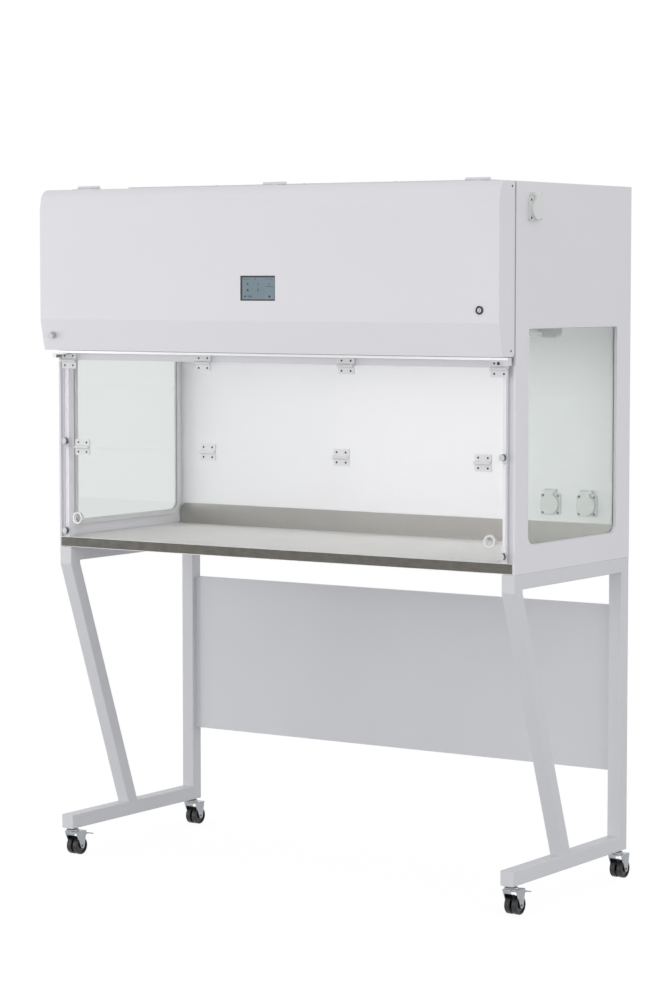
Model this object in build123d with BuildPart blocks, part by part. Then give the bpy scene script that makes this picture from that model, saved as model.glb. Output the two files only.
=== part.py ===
from build123d import *
import math
import os

os.makedirs("parts", exist_ok=True)

# Laminar flow hood on a caster stand. Millimetres, +Z up, front towards -Y, floor at Z = 0,
# X = 0 in the middle of the width and Y = 0 in the middle of the side walls.

# ---- driving sizes -------------------------------------------------------------------------
overall_width = 1500.0
body_depth = 620.0
caster_height = 80.0
stand_height = 812.0
hood_height = 1010.0
tube = 40.0  # square tube of the stand
gauge = 2.0  # sheet metal
edge_fold = 6.0  # depth of the folded edges of a side wall
fit = 0.3  # clearance between pieces that move or are slid in
pin_play = 0.12  # radial clearance of a pin or shaft in its bore

# stand
bend_drop = 48.0  # from the top of the stand to the bend of the front leg
leg_foot_setback = 262.0  # how far back the slanted leg meets the foot
tube_round = 2.5
panel_height = 458.0
panel_drop = 134.0  # from the top of the stand to the top of the rear panel
panel_setback = 17.0  # behind the front faces of the rear legs
panel_fold = 20.0

# casters
wheel_diameter = 50.0
wheel_width = 16.0
wheel_gap = 6.0
caster_trail = 20.0
caster_inset = 23.0  # from the end of the foot to the swivel axis
axle_diameter = 6.0
head_diameter = 40.0
head_height = 7.5
neck_radius = 12.0
race_height = 3.5
bearing_gap = 1.0
swivel_radius = 8.0
rivet_radius = 11.0
rivet_height = 2.5
stem_diameter = 12.0
stem_length = 28.0
fork_gauge = 2.5
pedal_hub_radius = 4.5
pedal_pin_radius = 2.0
pedal_reach = 40.0
pedal_offset = 13.0  # of the pedal pin behind the axle
pedal_top_gap = 2.0

# side walls
channel_width = 36.0
channel_depth = 24.0
lip_width = 12.0
groove_depth = 9.0
window_front = 67.0  # from the front of the wall to the window opening
window_rear = 76.0
window_bottom = 72.0  # above the bottom of the hood
window_height = 561.0
window_round = 28.0
window_round_top = 8.0
glass_thickness = 5.0
glass_overlap = 8.0
gasket_wall = 2.0
gasket_overlap = 12.0

# worktop and inner walls
worktop_rise = 30.0  # from the stand to the working surface
lip_height = 29.0
upstand_height = 61.0
upstand_depth = 10.0
upstand_round = 24.0
liner_setback = 42.0  # from the back of the hood to the face of the back liner
chamber_height = 616.0  # from the worktop to the diffuser

# front header, rail and panes
header_bottom = 503.0  # above the worktop
rail_depth = 30.0
rail_height = 7.0
rail_gauge = 1.5
rail_upstand = 8.0
cover_gap = 2.0  # below the bottom edge of the cover
pane_thickness = 5.0
pane_side_gap = 0.5  # between a pane edge and the groove of the side wall
pane_rest_gap = 1.0  # behind a pane, for a soft seal strip
upper_pane_height = 240.0
lower_pane_gap = 5.0  # above the worktop
pane_joint_gap = 4.0
hinge_stand_off = 6.0  # from a pane to its hinge axis
pane_hinge_width = 50.0
pane_hinge_height = 45.0
leaf_thickness = 3.0
knuckle_radius = 4.5
hinge_pin_radius = 1.8
top_hinge_inset = 19.5  # of the outer hinges from the edge of a pane
mid_hinge_inset = 66.5
finger_hole_inset = 46.5
finger_hole_rise = 50.0  # above the lower edge of the lower pane
finger_ring_radius = 17.0
finger_hole_radius = 12.5
finger_ring_stand = 4.0

# quarter-turn knobs
knob_inset = 6.0  # from the edge of a pane
knob_radius = 9.5
knob_length = 11.0
knob_shank_radius = 2.5
upper_knob_rise = 14.0  # above the lower edge of the upper pane
lower_knob_rise = 13.0

# roof and intake
roof_flange = 25.0
intake_side = 170.0  # from the side of the hood to the intake
intake_front_gap = 140.0
intake_rear_gap = 150.0
intake_cover_height = 10.0
intake_margin = 20.0
intake_slots = 24

# front cover
cover_end_gap = 2.0  # short of the side walls' outer faces
cover_depth = 82.0  # from the front of the side walls to the cover face
cover_top_depth = 42.0  # where the flat top turns down
cover_top_drop = 36.0
cover_upper_crease = 54.0  # below the top
cover_lower_crease = 362.0
cover_bottom = 448.0
cover_bottom_depth = 64.0
cover_return = 18.0
cover_corner = 12.0
cover_hinge_inset = 112.0
cover_hinge_width = 72.0
cover_hinge_radius = 5.0
cover_hinge_leaf = 2.0
cover_hinge_leaf_length = 24.0
cover_knuckle = 28.0  # of the moving leaf, between the two of the fixed leaf
cover_pin_radius = 2.0

# display, lock and cover knob
display_width = 114.0
display_height = 67.0
display_drop = 274.0  # from the top of the cover to the middle of the display
display_recess = 1.5
display_glass_thickness = 2.0
display_box_depth = 24.0
lock_inset = 57.0
lock_crease_gap = 33.0  # from the lock down to the lower crease of the cover
lock_radius = 9.5
lock_flange_radius = 11.0
lock_flange = 2.5
lock_body_length = 20.0
lock_plug_radius = 6.0
cover_knob_inset = 40.0
cover_knob_crease_gap = 43.0  # from the lower crease down to the knob
cover_knob_length = 15.0
cover_shank_radius = 3.0
knurls = 30
knurl_depth = 0.5
cam_length = 26.0
cam_width = 9.0
strike_height = 26.0
strike_reach = 22.0

# filter, fans and controls
filter_side_gap = 44.0
filter_front_gap = 32.0
filter_rear_gap = 16.0  # in front of the back liner
filter_height = 72.0
filter_frame_wall = 14.0
pleats = 56
seat_height = 12.0
diffuser_slots = 30
diffuser_bar = 25.0  # between two slots
diffuser_margin = 10.0
deck_rise = 875.0  # above the bottom of the hood
inlet_radius = 92.0
inlet_height = 26.0
impeller_radius = 125.0
impeller_eye_radius = 96.0
impeller_height = 62.0
impeller_blades = 7
blade_gauge = 2.5
rotor_radius = 46.0
rotor_height = 40.0
motor_shaft_radius = 6.0
control_box_width = 260.0
control_box_height = 190.0
control_box_depth = 70.0
control_box_inset = 320.0

# lamp
lamp_length = 1200.0
lamp_radius = 13.0
lamp_setback = 173.0  # in front of the back liner
lamp_drop = 28.0  # from the ceiling of the chamber to the lamp axis
lamp_holder_length = 44.0
lamp_cap = 14.0
lamp_pin_pitch = 12.7
lamp_pin_radius = 1.2
lamp_pin_length = 7.0
holder_half = 14.5
holder_gap = 2.0  # between the tube and a holder

# sockets
socket_width = 60.0
socket_base = 8.0
socket_well_radius = 21.0
socket_well_depth = 20.0
socket_wall = 1.5
socket_pin_radius = 2.5
socket_pin_pitch = 19.0
socket_screw_pitch = 47.0
socket_screw_pocket = 4.2
lid_radius = 28.0
lid_height = 8.2
lid_wall = 2.0
lid_tab_half = 13.0
lid_hinge_rise = 38.0  # from the middle of a socket
lid_axis_height = 4.2
lid_knuckle = 3.8
lid_pin_radius = 1.5
lid_bracket_half = 19.0
back_socket_inset = 217.0  # from the right wall
back_socket_pitch = 114.0
back_socket_rise = 109.0  # above the worktop
side_socket_setback = 88.0  # of its middle from the front of the wall
side_socket_drop = 70.0  # below the top of the wall

# mains inlet
inlet_inset = 190.0  # from the left side
inlet_drop = 62.0  # below the top of the hood

# ---- derived places ------------------------------------------------------------------------
half_width = overall_width / 2
front = -body_depth / 2
rear = body_depth / 2
foot_bottom = caster_height
stand_top = foot_bottom + stand_height
hood_bottom = stand_top
hood_top = hood_bottom + hood_height
wall_inner = half_width - edge_fold
skin_inner = half_width - gauge
lip_inner = half_width - channel_width
lip_outer = lip_inner + lip_width
worktop_top = stand_top + worktop_rise
liner_face = rear - liner_setback
ceiling = worktop_top + chamber_height
header_z = worktop_top + header_bottom
header_top = ceiling
pane_face = front - pane_rest_gap - pane_thickness
pane_half = lip_outer - pane_side_gap
knob_x = pane_half - knob_inset
finger_hole_x = pane_half - finger_hole_inset
top_hinge_x = pane_half - top_hinge_inset
mid_hinge_x = pane_half - mid_hinge_inset
cover_half = half_width - cover_end_gap
cover_hinge_x = cover_half - cover_hinge_inset
lock_x = cover_half - lock_inset
cover_knob_x = cover_half - cover_knob_inset
cover_knob_drop = cover_lower_crease + cover_knob_crease_gap
filter_width = 2 * (wall_inner - filter_side_gap)
filter_front = front + filter_front_gap
filter_rear = liner_face - filter_rear_gap
filter_depth = filter_rear - filter_front
filter_y = (filter_front + filter_rear) / 2
fan_x = filter_width / 4
intake_width = overall_width - 2 * intake_side
intake_depth = body_depth - intake_front_gap - intake_rear_gap
intake_y = (intake_front_gap - intake_rear_gap) / 2
control_box_x = half_width - control_box_inset
lamp_y = liner_face - lamp_setback
back_socket_x = wall_inner - back_socket_inset
back_socket_z = worktop_top + back_socket_rise
side_socket_y = front + side_socket_setback
side_socket_z = hood_top - side_socket_drop
hood_z = (hood_bottom + hood_top) / 2
hinge_y = pane_face - hinge_stand_off
top_hinge_z = header_z - pane_joint_gap / 2
upper_pane_top = top_hinge_z - pane_joint_gap / 2
upper_pane_bottom = upper_pane_top - upper_pane_height
mid_hinge_z = upper_pane_bottom - pane_joint_gap / 2
lower_pane_top = mid_hinge_z - pane_joint_gap / 2
lower_pane_bottom = worktop_top + lower_pane_gap
cover_face = front - cover_depth
cover_hinge_y = front - 1.0
cover_hinge_z = hood_top + cover_hinge_leaf + cover_hinge_radius - 1.0
deck_z = hood_bottom + deck_rise
wheel_radius = wheel_diameter / 2
axle_z = wheel_radius
head_top = foot_bottom
head_bottom = head_top - head_height
fork_top = head_bottom - bearing_gap - race_height
fork_half = wheel_width + wheel_gap / 2 + fit + fork_gauge
rivet_top = fork_top - fork_gauge - fit
pedal_z = fork_top - fork_gauge - pedal_hub_radius - pedal_top_gap
window_depth = body_depth - window_front - window_rear
window_y = front + window_front + window_depth / 2
window_z = hood_bottom + window_bottom + window_height / 2
filter_bottom = ceiling + gauge + seat_height
fixed_leaf_front = cover_hinge_y + cover_hinge_radius + 1.5
lock_z = hood_top - cover_lower_crease + lock_crease_gap
strike_x = lip_outer
strike_y = cover_face + lock_body_length - 3.0


def save(piece, label):
    """Names a finished piece and writes it as its own file."""
    piece.part.label = label
    export_step(piece.part, f"parts/{label}.step")


def folded_sheet(points, thickness=gauge, side=Side.RIGHT):
    """A face for a folded sheet: its outer line, thickened to one side."""
    with BuildLine() as outline:
        Polyline(*points)
        offset(amount=thickness, side=side, kind=Kind.INTERSECTION)
    make_face(outline.edges())


# ---- stand ---------------------------------------------------------------------------------
leg_angle = math.atan2(leg_foot_setback, stand_height - bend_drop - tube)
leg_width = tube / math.cos(leg_angle)
foot_top = foot_bottom + tube
bend_z = stand_top - bend_drop
rear_leg_y = rear - tube

for side_name, side_sign in (("left", -1), ("right", 1)):
    frame_x = side_sign * (half_width - tube / 2)
    with BuildPart() as side_frame:
        with BuildSketch(Plane.YZ.offset(frame_x - tube / 2)):
            with Locations((0, stand_top - tube / 2), (0, foot_bottom + tube / 2)):
                Rectangle(body_depth, tube)
            with Locations((rear - tube / 2, foot_bottom + stand_height / 2)):
                Rectangle(tube, stand_height)
            with BuildLine():
                Polyline(
                    (front, stand_top - tube),
                    (front, bend_z),
                    (front + leg_foot_setback, foot_top - 1),
                    (front + leg_foot_setback + leg_width, foot_top - 1),
                    (front + leg_width, bend_z),
                    (front + leg_width, stand_top - tube),
                    close=True,
                )
            make_face()
        extrude(amount=tube)
        fillet(side_frame.faces().filter_by(Axis.X).edges(), tube_round)
        with BuildSketch(Plane.XY.offset(foot_bottom)):
            with Locations(
                (frame_x, front + caster_inset), (frame_x, rear - caster_inset)
            ):
                Circle(stem_diameter / 2 + 0.1)
        extrude(amount=stem_length + 1, mode=Mode.SUBTRACT)
    save(side_frame, f"frame_{side_name}")

inner_frame = half_width - tube

panel_top = stand_top - panel_drop
panel_y = rear_leg_y + panel_setback
with BuildPart() as rear_panel:
    with BuildSketch(Plane.YZ.offset(-inner_frame + 1)):
        folded_sheet(
            [
                (panel_y + panel_fold, panel_top),
                (panel_y, panel_top),
                (panel_y, panel_top - panel_height),
                (panel_y + panel_fold, panel_top - panel_height),
            ],
            side=Side.LEFT,
        )
    extrude(amount=2 * inner_frame - 2)
    for panel_end in (-inner_frame, inner_frame - gauge):
        with BuildSketch(Plane.YZ.offset(panel_end)):
            with Locations((panel_y + panel_fold / 2, panel_top - panel_height / 2)):
                Rectangle(panel_fold, panel_height)
        extrude(amount=gauge)
save(rear_panel, "rear_panel")

# ---- casters -------------------------------------------------------------------------------
places = {
    "front_left": (-1, -1),
    "front_right": (1, -1),
    "rear_left": (-1, 1),
    "rear_right": (1, 1),
}

with BuildPart() as caster_stems:
    for x_sign, y_sign in places.values():
        stem_x = x_sign * (half_width - tube / 2)
        stem_y = y_sign * (rear - caster_inset)
        with BuildSketch(Plane.XZ.offset(-stem_y)):
            with BuildLine():
                Polyline(
                    (stem_x, head_top + stem_length),
                    (stem_x + stem_diameter / 2, head_top + stem_length),
                    (stem_x + stem_diameter / 2, head_top),
                    (stem_x + neck_radius, head_top),
                    (stem_x + neck_radius, head_top - 1.5),
                )
                RadiusArc(
                    (stem_x + neck_radius, head_top - 1.5),
                    (stem_x + head_diameter / 2 - 1, head_bottom + 1.5),
                    head_diameter / 2,
                )
                Polyline(
                    (stem_x + head_diameter / 2 - 1, head_bottom + 1.5),
                    (stem_x + head_diameter / 2 - 1, head_bottom),
                    (stem_x + swivel_radius, head_bottom),
                    (stem_x + swivel_radius, rivet_top),
                    (stem_x + rivet_radius, rivet_top),
                    (stem_x + rivet_radius - 1, rivet_top - rivet_height),
                    (stem_x, rivet_top - rivet_height),
                    (stem_x, head_top + stem_length),
                )
            make_face()
        revolve(axis=Axis((stem_x, stem_y, 0), (0, 0, 1)))
save(caster_stems, "caster_stems")

for place, (x_sign, y_sign) in places.items():
    stem_x = x_sign * (half_width - tube / 2)
    stem_y = y_sign * (rear - caster_inset)
    wheel_y = stem_y + caster_trail
    pedal_y = wheel_y + pedal_offset
    with BuildPart() as fork:
        with BuildSketch(Plane.XY.offset(fork_top - fork_gauge)):
            with Locations((stem_x, stem_y)):
                Circle(head_diameter / 2)
            with Locations((stem_x, stem_y + caster_trail / 2)):
                Rectangle(2 * fork_half, caster_trail + 14)
        extrude(amount=fork_gauge)
        with BuildSketch(Plane.XY.offset(fork_top - fork_gauge)):
            with Locations((stem_x, stem_y)):
                Circle(head_diameter / 2)
        extrude(amount=fork_gauge + race_height)
        fillet(fork.faces().sort_by(Axis.Z)[-1].edges(), race_height / 2)
        with BuildSketch(Plane.YZ.offset(stem_x - fork_half)):
            with BuildLine():
                Polyline(
                    (stem_y - 9, fork_top),
                    (stem_y + caster_trail + 17, fork_top),
                    (wheel_y + 8, axle_z - 2),
                )
                RadiusArc((wheel_y + 8, axle_z - 2), (wheel_y - 8, axle_z - 2), 8.5)
                Line((wheel_y - 8, axle_z - 2), (stem_y - 9, fork_top))
            make_face()
        extrude(amount=2 * fork_half)
        with BuildSketch(Plane.YZ.offset(stem_x - fork_half + fork_gauge)):
            with Locations((stem_y + caster_trail / 2, fork_top / 2 - fork_gauge / 2)):
                Rectangle(caster_trail + 60, fork_top - fork_gauge)
        extrude(amount=2 * (fork_half - fork_gauge), mode=Mode.SUBTRACT)
        with BuildSketch(Plane.XY.offset(fork_top - fork_gauge - 1)):
            with Locations((stem_x, stem_y)):
                Circle(swivel_radius + pin_play)
        extrude(amount=fork_gauge + race_height + 2, mode=Mode.SUBTRACT)
        with BuildSketch(Plane.YZ.offset(stem_x - fork_half - 2)):
            with Locations((wheel_y, axle_z)):
                RegularPolygon(axle_diameter * 0.9, 6)
        extrude(amount=2)
        with BuildSketch(Plane.YZ.offset(stem_x - fork_half)):
            with Locations((wheel_y, axle_z)):
                Circle(axle_diameter / 2)
        extrude(amount=2 * fork_half + 3)
        if y_sign < 0:
            with BuildSketch(Plane.YZ.offset(stem_x - fork_half)):
                with Locations((pedal_y, pedal_z)):
                    Circle(pedal_pin_radius)
            extrude(amount=2 * fork_half)
    save(fork, f"caster_fork_{place}")

    with BuildPart() as wheels:
        for wheel_sign in (-1, 1):
            wheel_x = stem_x + wheel_sign * (wheel_gap + wheel_width) / 2
            with BuildSketch(Plane.YZ.offset(wheel_x - wheel_width / 2)):
                with Locations((wheel_y, axle_z)):
                    Circle(wheel_radius)
            extrude(amount=wheel_width)
            fillet(
                wheels.edges()
                .filter_by(GeomType.CIRCLE)
                .filter_by(lambda e: abs(e.radius - wheel_radius) < 0.01)
                .filter_by(lambda e: abs(e.center().X - wheel_x) < wheel_width / 2 + 0.1),
                2.5,
            )
            for face_sign in (-1, 1):
                face_x = wheel_x + face_sign * wheel_width / 2
                with BuildSketch(Plane.YZ.offset(face_x)):
                    with Locations((wheel_y, axle_z)):
                        Circle(wheel_radius - 5)
                        Circle(9, mode=Mode.SUBTRACT)
                extrude(amount=-face_sign * 2.5, mode=Mode.SUBTRACT)
        with BuildSketch(Plane.YZ.offset(stem_x - wheel_gap / 2)):
            with Locations((wheel_y, axle_z)):
                Circle(9)
        extrude(amount=wheel_gap)
        with BuildSketch(Plane.YZ.offset(stem_x - fork_half)):
            with Locations((wheel_y, axle_z)):
                Circle(axle_diameter / 2 + pin_play)
        extrude(amount=2 * fork_half, mode=Mode.SUBTRACT)
    save(wheels, f"caster_wheels_{place}")

    if y_sign < 0:
        with BuildPart() as pedal:
            with BuildSketch(Plane.YZ.offset(stem_x - fork_half + fork_gauge + fit)):
                with Locations((pedal_y, pedal_z)):
                    Circle(pedal_hub_radius)
                with BuildLine():
                    Polyline(
                        (pedal_y, pedal_z + pedal_hub_radius),
                        (pedal_y + 14, pedal_z + 1),
                        (pedal_y + pedal_reach, pedal_z - 5),
                        (pedal_y + pedal_reach, pedal_z - 8),
                        (pedal_y + 14, pedal_z - 3),
                        (pedal_y, pedal_z - pedal_hub_radius),
                        close=True,
                    )
                make_face()
                with Locations((pedal_y, pedal_z)):
                    Circle(pedal_pin_radius + pin_play, mode=Mode.SUBTRACT)
            extrude(amount=2 * (fork_half - fork_gauge - fit))
        save(pedal, f"brake_pedal_{place}")


# ---- hood: side walls ----------------------------------------------------------------------
def window_outline(extra):
    """The side window opening in its YZ plane, grown by extra on every side."""
    with BuildSketch(mode=Mode.PRIVATE) as outline:
        Rectangle(window_depth + 2 * extra, window_height + 2 * extra)
        fillet(outline.vertices().group_by(Axis.Y)[0], window_round + extra)
        fillet(outline.vertices().group_by(Axis.Y)[-1], window_round_top + extra)
    return outline.sketch


for side_name, side_sign in (("left", -1), ("right", 1)):
    with BuildPart() as side_wall:
        with BuildSketch(Plane.YZ.offset(side_sign * wall_inner)):
            with Locations((0, hood_z)):
                Rectangle(body_depth, hood_height)
            with Locations((window_y, window_z)):
                add(window_outline(0), mode=Mode.SUBTRACT)
        extrude(amount=side_sign * edge_fold)
        with BuildSketch(Plane.YZ.offset(side_sign * wall_inner)):
            with Locations((0, hood_z)):
                Rectangle(body_depth - 2 * gauge, hood_height - 2 * gauge)
            with Locations((window_y, window_z)):
                add(window_outline(gauge), mode=Mode.SUBTRACT)
        extrude(amount=side_sign * (edge_fold - gauge), mode=Mode.SUBTRACT)
        with BuildSketch(Plane.XY.offset(worktop_top - gauge)):
            folded_sheet(
                [
                    (side_sign * wall_inner, front),
                    (side_sign * wall_inner, front + groove_depth),
                    (side_sign * lip_outer, front + groove_depth),
                    (side_sign * lip_outer, front),
                    (side_sign * lip_inner, front),
                    (side_sign * lip_inner, front + channel_depth),
                ],
                side=Side.RIGHT if side_sign > 0 else Side.LEFT,
            )
        extrude(amount=hood_top - worktop_top)
        if side_sign > 0:
            with BuildSketch(Plane.YZ.offset(wall_inner)):
                with Locations((side_socket_y, side_socket_z)):
                    Circle(socket_well_radius + 1)
            extrude(amount=edge_fold, mode=Mode.SUBTRACT)
        with BuildSketch(Plane.XZ.offset(-front - groove_depth)):
            with Locations(
                (side_sign * knob_x, upper_pane_bottom + upper_knob_rise),
                (side_sign * knob_x, lower_pane_bottom + lower_knob_rise),
            ):
                Circle(knob_shank_radius)
        extrude(amount=groove_depth + 1, mode=Mode.SUBTRACT)
        if side_sign > 0:
            with BuildSketch(Plane.XY.offset(lock_z - strike_height / 2)):
                folded_sheet(
                    [
                        (lip_inner, front),
                        (strike_x, front),
                        (strike_x, strike_y),
                        (strike_x - strike_reach, strike_y),
                    ],
                    side=Side.RIGHT,
                )
            extrude(amount=strike_height)
    save(side_wall, f"side_wall_{side_name}")

with BuildPart() as side_glasses:
    for side_sign in (-1, 1):
        with BuildSketch(Plane.YZ.offset(side_sign * (wall_inner - gasket_wall))):
            with Locations((window_y, window_z)):
                add(window_outline(glass_overlap))
        extrude(amount=-side_sign * glass_thickness)
save(side_glasses, "side_glasses")

with BuildPart() as gaskets:
    for side_sign in (-1, 1):
        with BuildSketch(Plane.YZ.offset(side_sign * wall_inner)):
            with Locations((window_y, window_z)):
                add(window_outline(gasket_overlap))
                add(window_outline(-gauge), mode=Mode.SUBTRACT)
        extrude(amount=-side_sign * (glass_thickness + 2 * gasket_wall))
        with BuildSketch(Plane.YZ.offset(side_sign * (wall_inner - gasket_wall))):
            with Locations((window_y, window_z)):
                add(window_outline(glass_overlap))
        extrude(amount=-side_sign * glass_thickness, mode=Mode.SUBTRACT)
save(gaskets, "window_gaskets")

# ---- hood: worktop, base pan, liner, rear cover, roof ----------------------------------------
upstand_face = liner_face - upstand_depth
with BuildPart() as worktop:
    with BuildSketch(Plane.YZ.offset(-wall_inner + fit)):
        folded_sheet(
            [
                (front + 8, worktop_top - lip_height),
                (front - gauge, worktop_top - lip_height),
                (front - gauge, worktop_top),
                (upstand_face, worktop_top),
                (upstand_face, worktop_top + upstand_height),
                (liner_face, worktop_top + upstand_height),
                (liner_face, worktop_top + upstand_height - 20),
            ],
        )
    extrude(amount=2 * (wall_inner - fit))
    fillet(
        worktop.edges()
        .filter_by(Axis.X)
        .filter_by(lambda e: e.center().Y < front - gauge + 0.01),
        gauge * 0.9,
    )
    with BuildSketch(Plane.XZ.offset(-liner_face - 1)):
        for side_sign in (-1, 1):
            corner_x = side_sign * (wall_inner - fit)
            with Locations(
                (
                    corner_x - side_sign * upstand_round / 2,
                    worktop_top + upstand_height - upstand_round / 2,
                )
            ):
                Rectangle(upstand_round, upstand_round)
            with Locations(
                (
                    corner_x - side_sign * upstand_round,
                    worktop_top + upstand_height - upstand_round,
                )
            ):
                Circle(upstand_round, mode=Mode.SUBTRACT)
    extrude(amount=upstand_depth + 2, mode=Mode.SUBTRACT)
    with BuildSketch(Plane.XY.offset(worktop_top - gauge)):
        for side_sign in (-1, 1):
            with Locations((side_sign * half_width, front + channel_depth / 2)):
                Rectangle(2 * (channel_width + fit), channel_depth + 2 * fit)
    extrude(amount=gauge, mode=Mode.SUBTRACT)
save(worktop, "worktop")

with BuildPart() as base_pan:
    with BuildSketch(Plane.YZ.offset(-skin_inner)):
        folded_sheet(
            [
                (front + 12, worktop_top - gauge),
                (front + 12, stand_top),
                (rear - gauge, stand_top),
                (rear - gauge, worktop_top - gauge),
            ],
            side=Side.LEFT,
        )
    extrude(amount=2 * skin_inner)
    with BuildSketch(Plane.YZ.offset(-skin_inner)):
        with Locations((0, stand_top + gauge / 2)):
            Rectangle(body_depth, gauge)
    extrude(amount=edge_fold - gauge, mode=Mode.SUBTRACT)
    with BuildSketch(Plane.YZ.offset(skin_inner)):
        with Locations((0, stand_top + gauge / 2)):
            Rectangle(body_depth, gauge)
    extrude(amount=-(edge_fold - gauge), mode=Mode.SUBTRACT)
save(base_pan, "base_pan")

socket_wells = [
    (back_socket_x, back_socket_z),
    (back_socket_x + back_socket_pitch, back_socket_z),
]
with BuildPart() as back_liner:
    with BuildSketch(Plane.XY.offset(worktop_top)):
        folded_sheet(
            [
                (-skin_inner, rear - gauge),
                (-skin_inner, liner_face),
                (skin_inner, liner_face),
                (skin_inner, rear - gauge),
            ],
            side=Side.LEFT,
        )
    extrude(amount=chamber_height)
    with BuildSketch(Plane.XZ.offset(-liner_face - gauge - 1)):
        with Locations(*socket_wells):
            Circle(socket_well_radius + 1)
    extrude(amount=gauge + 2, mode=Mode.SUBTRACT)
save(back_liner, "back_liner")

inlet_x = -half_width + inlet_inset
inlet_z = hood_top - inlet_drop
with BuildPart() as rear_cover:
    with BuildSketch(Plane.XZ.offset(-rear)):
        with Locations((0, hood_z)):
            Rectangle(2 * wall_inner, hood_height)
        with Locations((inlet_x, inlet_z)):
            Rectangle(28, 22, mode=Mode.SUBTRACT)
    extrude(amount=gauge)
save(rear_cover, "rear_cover")

with BuildPart() as mains_inlet:
    with BuildSketch(Plane.XZ.offset(-rear - 2)):
        with Locations((inlet_x, inlet_z)):
            RectangleRounded(48, 28, 4)
    extrude(amount=2)
    with BuildSketch(Plane.XZ.offset(-rear)):
        with Locations((inlet_x, inlet_z)):
            Rectangle(27.4, 21.4)
    extrude(amount=24)
    with BuildSketch(Plane.XZ.offset(-rear - 2)):
        with Locations((inlet_x, inlet_z)):
            Rectangle(23, 17)
    extrude(amount=18, mode=Mode.SUBTRACT)
    with BuildSketch(Plane.XZ.offset(-rear + 16)):
        with Locations((inlet_x, inlet_z + 3), (inlet_x - 7, inlet_z - 2), (inlet_x + 7, inlet_z - 2)):
            Rectangle(2, 4)
    extrude(amount=-15)
save(mains_inlet, "mains_inlet")

with BuildPart() as roof:
    with BuildSketch(Plane.YZ.offset(-wall_inner)):
        folded_sheet(
            [
                (front, hood_top - roof_flange),
                (front, hood_top),
                (rear - gauge, hood_top),
                (rear - gauge, hood_top - roof_flange),
            ],
        )
    extrude(amount=2 * wall_inner)
    with BuildSketch(Plane.XY.offset(hood_top - roof_flange)):
        for side_sign in (-1, 1):
            with Locations((side_sign * half_width, front)):
                Rectangle(2 * channel_width + fit, 2 * channel_depth)
    extrude(amount=roof_flange - gauge, mode=Mode.SUBTRACT)
    with BuildSketch(Plane.XY.offset(hood_top - gauge - 1)):
        with Locations((0, intake_y)):
            Rectangle(intake_width, intake_depth)
    extrude(amount=gauge + 2, mode=Mode.SUBTRACT)
    for hinge_x in (-cover_hinge_x, 0, cover_hinge_x):
        with BuildSketch(Plane.XY.offset(hood_top)):
            with Locations((hinge_x, fixed_leaf_front + cover_hinge_leaf_length / 2)):
                Rectangle(cover_hinge_width, cover_hinge_leaf_length)
        extrude(amount=cover_hinge_leaf)
        for knuckle_x in (hinge_x - cover_hinge_width / 2, hinge_x + cover_knuckle / 2 + fit):
            with BuildSketch(Plane.YZ.offset(knuckle_x)):
                with Locations((cover_hinge_y, cover_hinge_z)):
                    Circle(cover_hinge_radius)
                with Locations(
                    (
                        (cover_hinge_y + fixed_leaf_front) / 2 + 1,
                        hood_top + cover_hinge_leaf / 2 + 1,
                    )
                ):
                    Rectangle(fixed_leaf_front - cover_hinge_y, cover_hinge_leaf + 2)
            extrude(amount=(cover_hinge_width - cover_knuckle) / 2 - fit)
        with BuildSketch(Plane.YZ.offset(hinge_x - cover_hinge_width / 2)):
            with Locations((cover_hinge_y, cover_hinge_z)):
                Circle(cover_pin_radius)
        extrude(amount=cover_hinge_width)
save(roof, "roof")


# ---- front header, rail and cover stops -------------------------------------------------------
cover_top = hood_top
cover_rear = front - 3.0
with BuildPart() as window_header:
    with BuildSketch(Plane.YZ.offset(-lip_inner)):
        folded_sheet(
            [
                (front + 20, header_z),
                (front, header_z),
                (front, header_top),
                (front + 20, header_top),
            ],
        )
    extrude(amount=2 * lip_inner)
save(window_header, "window_header")

rail_top = cover_top - cover_bottom - cover_gap
with BuildPart() as front_rail:
    with BuildSketch(Plane.YZ.offset(-wall_inner)):
        folded_sheet(
            [
                (front, rail_top + rail_upstand),
                (front, rail_top - rail_gauge),
                (front - rail_depth + rail_gauge, rail_top - rail_gauge),
                (front - rail_depth + rail_gauge, rail_top - rail_height),
            ],
            thickness=rail_gauge,
        )
    extrude(amount=2 * wall_inner)
save(front_rail, "front_rail")

stop_top = rail_top - rail_height
stop_rear = pane_face - leaf_thickness - 1.5
with BuildPart() as cover_stops:
    for side_sign in (-1, 1):
        with BuildSketch(Plane.XZ.offset(-stop_rear)):
            with BuildLine():
                Polyline(
                    (side_sign * wall_inner, stop_top),
                    (side_sign * (wall_inner - 54), stop_top),
                    (side_sign * (wall_inner - 40), stop_top - 4),
                    (side_sign * (wall_inner - 12), stop_top - 5),
                    (side_sign * (wall_inner - 12), stop_top - 14),
                    (side_sign * wall_inner, stop_top - 14),
                    close=True,
                )
            make_face()
        extrude(amount=front - rail_depth - 4 - stop_rear, dir=(0, 1, 0))
        with BuildSketch(Plane.XZ.offset(-stop_rear)):
            with Locations((side_sign * (wall_inner - 27), stop_top + 2.75)):
                Rectangle(54, 5.5)
        extrude(amount=front - rail_depth + rail_gauge - stop_rear, dir=(0, 1, 0))
save(cover_stops, "cover_stops")

# ---- filter, diffuser, fans and intake ---------------------------------------------------------
channel_rear = front + channel_depth
filter_mouth_width = filter_width - 2 * filter_frame_wall
filter_mouth_depth = filter_depth - 2 * filter_frame_wall
plenum_front = front + 20.0


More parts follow.
